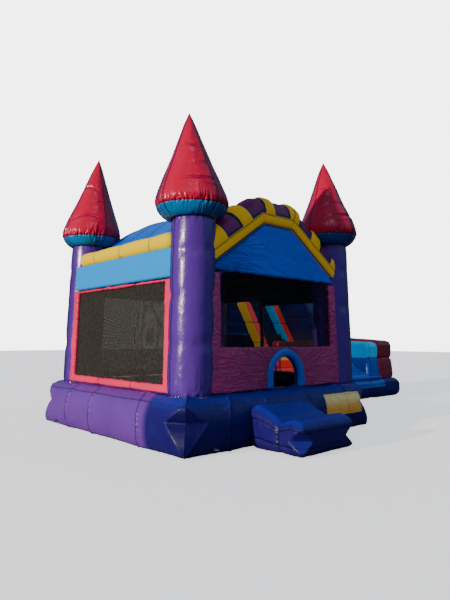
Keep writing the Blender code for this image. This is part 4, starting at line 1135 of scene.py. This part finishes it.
def panel_wrinkles(x, z, inset):
    """Crumples, and wrinkles that pull from the door and the window corners."""
    wander_x = x + 0.10 * clouds(x * 3, z * 3, 37)
    wander_z = z + 0.10 * clouds(x * 3 + 9, z * 3, 38)
    height = 0.006 * (1 - np.exp(-inset / 0.20))
    height += 0.0045 * (
        0.6 * crease(wander_x / 0.10, wander_z / 0.16, 39)
        + 0.5 * crease(wander_x / 0.045 + wander_z / 0.09, wander_z / 0.07, 40)
        + 0.25 * crease(wander_x / 0.024, wander_z / 0.030, 42))
    dx, dz = x - DOOR_X, z - 0.95
    radius, angle = np.hypot(dx, dz), np.arctan2(dz, dx)
    height += (0.010 * crease(angle * 9 + 0.6 * noise(x * 4, z * 4, 2), radius * 1.6, 71)
               * bell(radius - 0.60, 0.42))
    height += 0.006 * crease((x * 0.8 + z) / 0.050, (x - z) / 0.22, 72)
    height += 0.004 * crease((x - 0.9 * z) / 0.040, (x + z) / 0.16, 73)
    return height + 0.0025 * crease(x / 0.020, z / 0.045, 74)


front_wall = [(-1.45, WALL_FOOT), *door_outline(0.405, WALL_FOOT, 1.270), (1.45, WALL_FOOT),
              (1.45, 2.36), (1.25, 2.36), (1.25, 1.32), (-1.25, 1.32), (-1.25, 2.36),
              (-1.45, 2.36)]
slab("soft_front_panel", front_wall, facing=TO_FRONT, cloths=[PLUM], seed=34,
     slot="vinyl_plum", spacing=RES * 0.75, pitch=0.045, fine=panel_wrinkles, wave=0.012, **WALL)
slab("soft_door_border", door_outline(0.435, WALL_FOOT, 1.298), 0.150, TO_FRONT, 1.805, [BLUE],
     35, "vinyl_blue", hole=door_outline(0.290, WALL_FOOT, 1.160), spacing=RES * 0.7,
     edge=0.045, edge_depth=0.075, gather=0.009, pitch=0.035, reach=0.04, wave=0.004)

# ------------------------------------------------------------------ gables
# the outline above the two foot corners
GABLE_TOP = [(1.40, 2.46), (1.34, 2.50), (0.33, 3.20), (-0.33, 3.20), (-1.34, 2.50),
             (-1.40, 2.46)]


def gable_wrinkles(u, w, inset):
    corners = (np.exp(-np.hypot((u + 1.15) / 0.55, (w - 2.45) / 0.40) ** 2)
               + 0.5 * np.exp(-np.hypot((u - 1.20) / 0.35, (w - 2.42) / 0.25) ** 2))
    height = 0.022 * corners * (crease((u * 0.55 + w) / 0.065, (u - w) / 0.45, 91)
                                + 0.4 * crease((u * 0.8 + w) / 0.028, (u - w) / 0.2, 92))
    height += (0.006 * crease((u * 0.3 + w) / 0.10, (u - w) / 0.6, 93)
               * (0.3 + 1.4 * noise(u * 1.5, w * 2.2, 95)))
    return height + 0.010 * bell(w - 2.42, 0.05) * crease(u / 0.09, w / 0.2, 94)


def scallop(points):
    """Waves the lower edge."""
    low = unit((2.60 - points[..., 2]) / 0.2)
    points[..., 2] += 0.009 * low * (np.abs(np.sin(points[..., 0] * 9.0 + 0.8)) - 0.4)
    return points


for side, facing, foot, seed, more in (("front", TO_FRONT, 2.372, 36, {"warp": scallop}),
                                       ("back", TO_BACK, 2.280, 37, {})):
    slab("soft_gable_" + side, [(-1.40, foot), (1.40, foot), *GABLE_TOP], 0.085, facing, 1.785,
         [GABLE], seed, "vinyl_blue", edge=0.03, edge_depth=0.042, gather=0.007, pitch=0.06,
         reach=0.08, fine=gable_wrinkles, **more)

# ------------------------------------------------------------------ roof
ROOF_LENGTH = 2.874      # in y
# x, z
ROOF_LINE = [(-1.44, 2.90), (-0.95, 3.30), (-0.45, 3.53), (0, 3.59), (0.45, 3.53),
             (0.95, 3.30), (1.44, 2.90)]
roof_curve, roof_run, roof_width = smooth_curve(ROOF_LINE, 200, closed=False)


def roof_layout(x, y, rise):
    """Bends a flat sheet over the vault and lets it swell."""
    curve_x, curve_z = (np.interp(x, roof_run, axis) for axis in roof_curve.T)
    slope_x, slope_z = (np.interp(x, roof_run, np.gradient(axis, roof_run))
                        for axis in roof_curve.T)
    height = rise + (0.05 * np.sin(np.pi * unit(x / roof_width)) ** 0.5
                     * np.sin(np.pi * unit(y / ROOF_LENGTH)) ** 0.3)
    height = height + np.interp(y, [0, 0.7, 1.4, 2.2, 2.6, ROOF_LENGTH],
                                [-0.055, -0.035, 0.005, 0.040, 0.015, -0.02])
    return np.stack([curve_x - slope_z * height, y - ROOF_LENGTH / 2,
                     curve_z + slope_x * height], -1)


pillow("soft_roof", roof_width, ROOF_LENGTH, 0.10, roof_layout, [BLUE], 38,
       node="roof_vault", gather=0.014, edge=0.05,
       seams=(0.48, 0.96, 1.44, 1.92, 2.40), quilt=0.022)

# ------------------------------------------------------------------ arches and piping
# sections: sideways, up
ARCH_FRONT = [
    (0.209, -0.062), (0.200, 0.045), (0.158, 0.150), (0.078, 0.222), (-0.040, 0.258),
    (-0.150, 0.232), (-0.225, 0.140), (-0.235, -0.030), (-0.175, -0.155), (-0.050, -0.195),
    (0.100, -0.198), (0.190, -0.185), (0.210, -0.125)]
ARCH_BACK = [
    (0.209, -0.062), (0.198, 0.035), (0.152, 0.128), (0.070, 0.188), (-0.040, 0.203),
    (-0.130, 0.166), (-0.190, 0.080), (-0.205, -0.060), (-0.165, -0.160), (-0.050, -0.195),
    (0.100, -0.198), (0.190, -0.185), (0.210, -0.125)]
# start and end of each purple patch along the arch
PATCHES = ((0.54, 0.92), (1.17, 1.55), (1.76, 2.14), (2.38, 2.76), (3.03, 3.40))


def patch_inset(run):
    """Distance inside the nearest patch, negative between patches."""
    inset = np.full(run.shape, -1.0)
    for start, end in PATCHES:
        inset = np.maximum(inset, np.minimum(run - start, end - run))
    return inset


def patch_distance(run, girth):
    return np.minimum(patch_inset(run), np.minimum(girth - 0.018, 0.60 - girth))


def arch(side, y, section, seed):
    path = [(-1.592, y, 2.582), (-0.39, y, 3.41), (0.39, y, 3.41), (1.592, y, 2.582)]
    if side == "back":
        path = path[::-1]

    def blocks(run, share):
        """Raised between patches and pressed in over them, on the section's upper half."""
        inset = patch_inset(run)
        upper = np.sin(np.pi * unit(share / 0.52)) ** 0.6
        return upper * (0.026 * unit(-inset / 0.05) - 0.024 * unit(inset / 0.03)
                        + 0.012 * unit(inset / 0.2)
                        + 0.006 * crease(run / 0.05, share * 6, seed)
                        * np.exp(-np.abs(inset) / 0.05))
    tube("soft_arch_" + side, path, section, [ARCH], seed, seams=(1.46, 2.24),
         along=(0.0, 0.845, 0.56), gather=0.011, pitch=0.05, reach=0.07, groove=0.008,
         dip=0.004, waves=0.008, end_round=0.14, spacing=RES * 0.8, shape=blocks,
         patch=patch_distance)


arch("front", -1.645, ARCH_FRONT, 51)
arch("back", 1.645, ARCH_BACK, 52)
for side, y in (("front", -1.838), ("back", 1.838)):
    tube("soft_piping_" + side,
         [(-1.37, y, 2.478), (-0.335, y, 3.197), (0.335, y, 3.197), (1.37, y, 2.478)],
         round_section(0.022, 8, 2), [NAVY], 60, node=None, gather=0, groove=0,
         dip=0, waves=0, spacing=0.02)

# ------------------------------------------------------------------ floor and door roll
FLOOR_HALF = 1.545
slab("soft_floor", rect(-FLOOR_HALF, FLOOR_HALF, -FLOOR_HALF, FLOOR_HALF), 0.16, UPWARD, 0.575,
     [BLUE], 39, "vinyl_blue", node="jump_floor", edge=0.06, spacing=RES * 1.5, gather=0.010,
     reach=0.10, seams_w=[-FLOOR_HALF + FLOOR_HALF / 5 * i for i in range(1, 10)], quilt=0.022)
# the roll is near-black: painted shade
tube("soft_door_roll", [(-0.345, -1.625, 0.808), (0.505, -1.625, 0.808)],
     round_section(0.235, 12, 2), [INNER], 61, seams=(0.28, 0.57),
     gather=0.008, reach=0.06, end_round=0.09, waves=0.006)

# ------------------------------------------------------------------ entry step
STEP_LEFT, STEP_RIGHT, STEP_FRONT, STEP_HEIGHT = -0.925, 0.205, -2.935, 0.405


def step_warp(points):
    x, y, z = points.T
    # the step rises towards the rear, with a roll across its front part
    rear = unit((y + 2.62) / 0.50)
    z = z * (1 + 0.36 * rear * rear * (3 - 2 * rear))
    z += (0.034 * bell(y + 2.76, 0.12) - 0.022 * bell(y + 2.54, 0.05)) * (z > 0.2)
    # a kite-shaped patch cuts each front corner
    kite = kite_reach(z, 0.36, 0.22, 0.19)
    off_middle = x - (STEP_LEFT + STEP_RIGHT) / 2
    half = (STEP_RIGHT - STEP_LEFT) / 2
    excess = (np.abs(off_middle) - half + (STEP_FRONT - y) + kite).clip(0, None)
    sign = np.sign(off_middle)
    x = x - sign * excess / 2
    y = y + excess / 2
    wrinkle = (0.0045 * (crease((x + y) / 0.3, z / 0.018, 4) + 0.3) * unit(excess / 0.03)
               + 0.02 * np.clip(excess, 0, 0.2))
    return np.stack([x + sign * wrinkle * 0.7, y - wrinkle * 0.7, np.maximum(z, 0.0)], -1)


slab("soft_entry_step", rect(STEP_LEFT, STEP_RIGHT, STEP_FRONT, -2.000), STEP_HEIGHT, UPWARD,
     STEP_HEIGHT / 2, [PURPLE_DEEP], 62, "vinyl_purple", edge=0.12, spacing=RES * 0.8,
     gather=0.006, pitch=0.045, seams_w=(-2.54,), quilt=0.008, warp=step_warp,
     fine=lambda x, y, inset: 0.004 * crease((x + y) / 0.05, (x - y) / 0.2, 3))


# ------------------------------------------------------------------ printed patch
def info_patch():
    """A thin panel that follows the front tube's skin."""
    out, height = front_outline.T
    columns = np.where((height > 0.250) & (height < 0.575) & (out > 1.87))[0]
    x = np.linspace(0.775, 1.730, 90)
    skin = np.stack([
        np.stack([x] + [np.interp(x, front_points[:, j, 0], front_points[:, j, k])
                        for k in (1, 2)], -1) for j in columns], 1)
    normal = normals(skin)
    if normal[..., 1].mean() > 0:
        normal = -normal
    rows, cols = skin.shape[:2]
    count = rows * cols
    across, up = np.meshgrid(np.linspace(0, 1, rows), np.linspace(0, 1, cols), indexing="ij")
    ids = np.arange(count).reshape(rows, cols)
    ring = np.concatenate([ids[:, 0], ids[-1], ids[::-1, -1], ids[0, ::-1]])
    ring = ring[np.append(True, ring[1:] != ring[:-1])]
    rim = np.stack([ring[:-1], ring[1:], ring[1:] + count, ring[:-1] + count], 1)
    quads = grid_quads(rows, cols)
    soft_mesh("soft_info_patch", np.stack([skin + normal * 0.007, skin + normal * 0.001]),
              np.vstack([quads, quads[:, ::-1] + count, rim]), [PATCH],
              seam=(np.tile(across.ravel(), 2), np.tile(up.ravel(), 2)), weld=0)


info_patch()

# ------------------------------------------------------------------ climb and slide lane
LANE_TOP = 0.453         # top of the lane's base
DECK_TOP = 1.55
DECK_FRONT = 1.25
CLIMB_END = 1.247        # where the climb and the slide meet the deck
DECK_MIDDLE, DECK_WIDTH = 3.90, 3.40


def lean(y, z):
    """The y at height z of the climb's slope, which passes through y at z = 1.3."""
    return y + (z - 1.3) * 0.567


def slide_foot(x):
    return (x > 4.24) & (x < 6.17)


slab("soft_lane_base", rect(2.130, 6.88, 0.06, 2.56), 0.452, UPWARD, 0.226,
     [PURPLE_DEEP, BLUE], 63, "vinyl_purple", edge=0.13, spacing=RES * 1.3, gather=0.014,
     reach=0.11, seams_u=(3.35, 4.23, 5.62), seams_w=(0.95, 1.75), quilt=0.012,
     face_cloth=lambda x, y, side: (side > 0) & slide_foot(x) & (y < 0.62),
     rim_cloth=lambda x, y, z, inward: (z > 0.04) & slide_foot(x) & (inward[:, 1] > 0.5))

# four treads, each with a nose that stands out from the slope
climb = [(lean(0.97, LANE_TOP), LANE_TOP)]
for i in range(4):
    z = LANE_TOP + 0.18 + i * 0.24
    climb += [(lean(0.97, z), z), (lean(0.97, z) - 0.055, z + 0.02),
              (lean(0.97, z) - 0.030, z + 0.075), (lean(0.97, z + 0.085), z + 0.085)]
climb += [(lean(0.97, DECK_TOP), DECK_TOP), (CLIMB_END, DECK_TOP), (CLIMB_END, LANE_TOP)]
# the ramp is made in the near-black inside cloth: painted shade
slab("soft_climb_ramp", climb, 0.70, TO_RIGHT, 3.06, [INNER], 64, "vinyl_blue", shift=0.04,
     edge=0.02, spacing=RES * 0.9, gather=0.006, reach=0.05, wave=0.005)

bolster = [(lean(0.82, LANE_TOP), LANE_TOP), (lean(1.10, LANE_TOP), LANE_TOP),
           (lean(1.10, 2.30), 2.30), (lean(0.82, 2.30), 2.30)]
# the bolsters are made in the glowing cloths: painted light
for side, x, cloth, seed, slot in (("left", 2.5675, GLOW_YELLOW, 65, "vinyl_yellow"),
                                   ("right", 3.5425, GLOW_CYAN, 66, "vinyl_light_blue")):
    slab("soft_climb_bolster_" + side, bolster, 0.265, TO_RIGHT, x, [cloth, GLOW_RED], seed,
         slot, shift=0.05, spacing=RES * 0.8, gather=0.010, reach=0.07, wave=0.006,
         face_cloth=lambda u, w, side: int(side > 0), rim_cloth=lambda *spot: 1,
         seams_w=(0.90, 1.36, 1.82))

# the face towards the castle and the front rim take the near-black navy: painted shade
slab("soft_deck", rect(DECK_FRONT, 2.50, LANE_TOP, DECK_TOP), DECK_WIDTH, TO_RIGHT,
     DECK_MIDDLE, [BLUE, GUARD_NAVY], 67, "vinyl_blue", edge=0.04, spacing=RES * 1.8,
     gather=0.010, seams_w=(0.82, 1.19), rim_seams=(-1.0, 0.0, 1.0), quilt=0.014,
     face_cloth=lambda y, z, side: int(side < 0),
     rim_cloth=lambda y, z, depth, inward: inward[:, 0] > 0.5)
# as on the deck, the face towards the castle and the front rim are painted shade in near-black
# navy
slab("soft_deck_guard", rect(2.28, 2.505, 1.553, 2.80), DECK_WIDTH, TO_RIGHT, DECK_MIDDLE,
     [GUARD_NAVY, RED, BLUE], 68, "vinyl_blue", edge=0.075, spacing=RES * 1.3, reach=0.08,
     seams_w=(1.86, 2.17, 2.48), rim_seams=(-1.15, -0.38, 0.40, 1.15), quilt=0.012,
     face_cloth=lambda y, z, side: 2 if side > 0 else 0,
     rim_cloth=lambda y, z, depth, inward: np.where(inward[:, 0] > 0.5, 0, 2))

# y, z: down the sliding face, then back along the underside
SLIDE = [(CLIMB_END, DECK_TOP), (1.12, 1.49), (0.90, 1.20), (0.70, 0.93), (0.52, 0.76),
         (0.34, 0.65), (0.18, 0.585),
         (0.12, 0.50), (0.14, LANE_TOP), (0.50, LANE_TOP), (0.74, 0.66), (1.00, 1.00),
         (CLIMB_END, 1.30)]
slab("soft_slide_bed", SLIDE, 1.344, TO_RIGHT, 4.925, [BLUE, CYAN], 69, "vinyl_light_blue",
     edge=0.03, gather=0.006, reach=0.06, wave=0.006, rim_seams=(-0.34, 0.0, 0.34),
     quilt=0.005, rim_cloth=lambda y, z, depth, inward: z > 0.80)
# x, y
SLIDE_LIP = [(4.27, 0.085), (6.02, 0.085), (6.13, 0.11), (6.17, 0.19), (6.16, 0.40),
             (4.27, 0.40)]
slab("soft_slide_lip", SLIDE_LIP, 0.09, UPWARD, 0.490, [BLUE], 70, "vinyl_light_blue",
     node=None, edge=0.06, edge_depth=0.045, gather=0.006, reach=0.05, wave=0.004)

# side walls of the slide: y, z
WALL_BACK = [(0.17, LANE_TOP), (2.50, LANE_TOP), (2.50, 2.06)]
WALL_INNER = [*WALL_BACK, (1.32, 2.06), (1.22, 1.98), (1.04, 1.46), (0.94, 1.40),
              (0.30, 1.375), (0.20, 1.335), (0.16, 1.25), (0.17, 0.98), (0.20, 0.965),
              (0.165, 0.945), (0.16, 0.55)]
WALL_OUTER = [*WALL_BACK, (1.62, 2.06), (1.54, 1.98), (1.42, 1.54), (1.34, 1.49),
              (0.28, 1.42), (0.19, 1.39), (0.15, 1.30), (0.165, 0.98), (0.20, 0.965),
              (0.165, 0.945), (0.155, 0.55)]
WALL_WAIST = 0.965       # height of the walls' lower seam
# the upper row's face towards the castle and the upper rim take the glowing light blue: painted
# light, while the lower row stays blue
slab("soft_slide_wall_inner", WALL_INNER, 0.54, TO_RIGHT, 5.88, [BLUE, GLOW_CYAN, GLOW_CYAN],
     71, "vinyl_blue", edge=0.09, gather=0.010, reach=0.07, seams_w=(WALL_WAIST, 1.53),
     quilt=0.018, wave=0.006,
     face_cloth=lambda y, z, side: (z > WALL_WAIST) & (side < 0),
     rim_cloth=lambda y, z, depth, inward: np.where(
         inward[:, 1] < -0.5, 1, np.where(z > WALL_WAIST, 2, 0)))
# the front end takes the darker red: painted shade
slab("soft_slide_wall_outer", WALL_OUTER, 0.66, TO_RIGHT, 6.475, [RED, RED_DARK], 72,
     "vinyl_red", edge=0.10, reach=0.08, seams_w=(WALL_WAIST, 1.53), quilt=0.018, wave=0.008,
     rim_cloth=lambda y, z, depth, inward: inward[:, 0] > 0.5)
# y, z
DIVIDER = [(0.40, LANE_TOP), (CLIMB_END, LANE_TOP), (CLIMB_END, 2.35), (0.66, 2.35),
           (0.46, 2.05), (0.40, 1.65)]
slab("soft_lane_divider", DIVIDER, 0.52, TO_RIGHT, 3.987, [NAVY], 73, "vinyl_blue", edge=0.08,
     gather=0.010, reach=0.08, seams_w=(0.95, 1.45, 1.95), quilt=0.014)
# its rim glows red, with an orange band higher up: painted light
slab("soft_lane_front_wall", rect(0.12, 0.33, LANE_TOP, 1.39), 2.055, TO_RIGHT, 3.1825,
     [LANE_RED, LANE_ORANGE, RED], 74, "vinyl_red", edge=0.07, spacing=RES * 1.1, reach=0.08,
     seams_w=(0.84, 1.22), rim_seams=(-0.35, 0.40), quilt=0.016,
     face_cloth=lambda y, z, side: 2,
     rim_cloth=lambda y, z, depth, inward: np.where(z > 1.20, 2, np.where(z > 1.00, 1, 0)))


# ------------------------------------------------------------------ air sleeve
def air_sleeve():
    """Limp tube that runs back along +Y from the base."""
    start, end, centre_x, centre_z, sides = 2.060, 2.795, -0.90, 0.235, 60
    stations = np.linspace(start, end, 50)
    y, angle = np.meshgrid(stations, np.linspace(0, 2 * math.pi, sides, endpoint=False),
                           indexing="ij")
    radius = np.interp(y, [start, 2.14, 2.45, 2.66, 2.71, 2.735, 2.76, end],
                       [0.172, 0.162, 0.178, 0.200, 0.203, 0.196, 0.204, 0.207])
    folds = (0.012 * crease(angle * 1.6 + y * 2.2, y * 7, 7)
             + 0.007 * crease(angle * 3.5, y * 20, 9)
             - 0.006 * np.exp(-np.abs(y - 2.735) / 0.02))
    radius = radius + folds * unit(np.minimum(y - start, end - y) / 0.05)
    z = np.maximum(centre_z + radius * np.sin(angle), 0.004)
    soft_mesh("soft_air_sleeve", np.stack([centre_x + radius * np.cos(angle), y, z], -1),
              grid_quads(len(stations), sides, wrap=True), [SLEEVE])


air_sleeve()

# ------------------------------------------------------------------ hard parts, kept as packed
FINISHES = (
    (STEEL, ("blower_guard", "zip_slider", "anchor_ring_front", "anchor_ring_left",
             "anchor_ring_back")),
    (HOUSING, ("blower_housing",)),
    (DARK, ("blower_impeller", "blower_motor")),
    (SWITCH, ("blower_switch",)),
    (ZIP, ("zip_track",)),
    (WEBBING, ("sleeve_strap", "anchor_tab_front", "anchor_tab_left", "anchor_tab_back")))
for finish, nodes in FINISHES:
    for node in nodes:
        for material_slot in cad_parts[node].material_slots:
            material_slot.material = finish


# ------------------------------------------------------------------ stage
def ground():
    """A pale floor that looks bright to the camera but bounces little light."""
    half, z = 60.0, -0.002
    mesh = bpy.data.meshes.new("ground")
    mesh.from_pydata([(x, y, z) for x, y in rect(-half, half, -half, half)], [],
                     [(0, 1, 2, 3)])
    ob = bpy.data.objects.new("ground", mesh)
    bpy.context.scene.collection.objects.link(ob)
    material, sh = new_material("ground_pale")
    camera_ray = sh.node("LightPath").outputs["Is Camera Ray"]
    # plain colour for readers that ignore the link made below
    sh.surface(Base_Color=(0.82, 0.80, 0.77), Roughness=0.9, Emission_Color=(1, 1, 1),
               Emission_Strength=sh.mul(camera_ray, 0.95))
    sh.surface(Base_Color=sh.mix(camera_ray, (0.13, 0.13, 0.14), (0.82, 0.81, 0.79)))
    mesh.materials.append(material)


def studio_world():
    """White to the camera, blue sky for light, and a soft box seen only in reflections."""
    world = bpy.data.worlds.new("studio")
    bpy.context.scene.world = world
    world.use_nodes = True
    sh = Shader(world)
    direction = sh.node("TexCoord").outputs["Generated"]
    sky = sh.mix(sh.ramp(sh.axes(direction)[2], -0.02, 0.75), (0.26, 0.42, 0.78),
                 (0.62, 0.80, 1.10))
    softbox = sh.ramp(sh.dot(direction, (0.50, -0.62, 0.605)), 0.84, 0.95)
    rays = sh.node("LightPath").outputs
    background = sh.nodes["Background"].inputs
    sh.put(background["Color"], sh.mix(rays["Is Camera Ray"], sky, (1.0, 1.0, 1.0)))
    gloss = sh.mul(sh.mul(rays["Is Glossy Ray"], softbox), 0.75)
    sh.put(background["Strength"],
           sh.add(sh.mul(rays["Is Camera Ray"], 4.6), sh.add(gloss, 0.32)))


def sun(name, direction, energy, spread, colour):
    """A sun shining along direction; spread is its angular size in degrees."""
    light = bpy.data.lights.new(name, 'SUN')
    light.energy, light.angle, light.color = energy, math.radians(spread), colour
    ob = bpy.data.objects.new(name, light)
    bpy.context.scene.collection.objects.link(ob)
    ob.rotation_euler = Vector(direction).to_track_quat('-Z', 'Y').to_euler()


def camera(place, yaw, pitch, roll, lens, shift_x, shift_y):
    """Yaw turns from +Y towards +X and pitch looks up, both in degrees; lens is in mm."""
    data = bpy.data.cameras.new("view")
    ob = bpy.data.objects.new("view", data)
    bpy.context.scene.collection.objects.link(ob)
    bpy.context.scene.camera = ob
    yaw, pitch, roll = (math.radians(angle) for angle in (yaw, pitch, roll))
    level = np.array([math.sin(yaw), math.cos(yaw), 0.0])
    level_right = np.array([math.cos(yaw), -math.sin(yaw), 0.0])
    upright = np.array([0, 0, 1.0])
    forward = level * math.cos(pitch) + upright * math.sin(pitch)
    tilted = -level * math.sin(pitch) + upright * math.cos(pitch)
    right = level_right * math.cos(roll) + tilted * math.sin(roll)
    up = -level_right * math.sin(roll) + tilted * math.cos(roll)
    rows = [(right[i], up[i], -forward[i], place[i]) for i in range(3)]
    ob.matrix_world = Matrix((*rows, (0, 0, 0, 1)))
    data.sensor_width = 36.0
    data.lens, data.shift_x, data.shift_y = lens, shift_x, shift_y
    data.clip_end = 200


ground()
studio_world()
sun("key", (0.980, -0.086, -0.186), energy=4.5, spread=1.2, colour=(1.0, 0.89, 0.76))
sun("fill", (0.42, 0.62, -0.66), energy=0.40, spread=14.0, colour=(0.60, 0.78, 1.0))
camera(place=(-5.972, -7.035, 1.41), yaw=41.595, pitch=11.881, roll=0.189, lens=30.02832,
       shift_x=0.0155066667, shift_y=-0.1087833333)
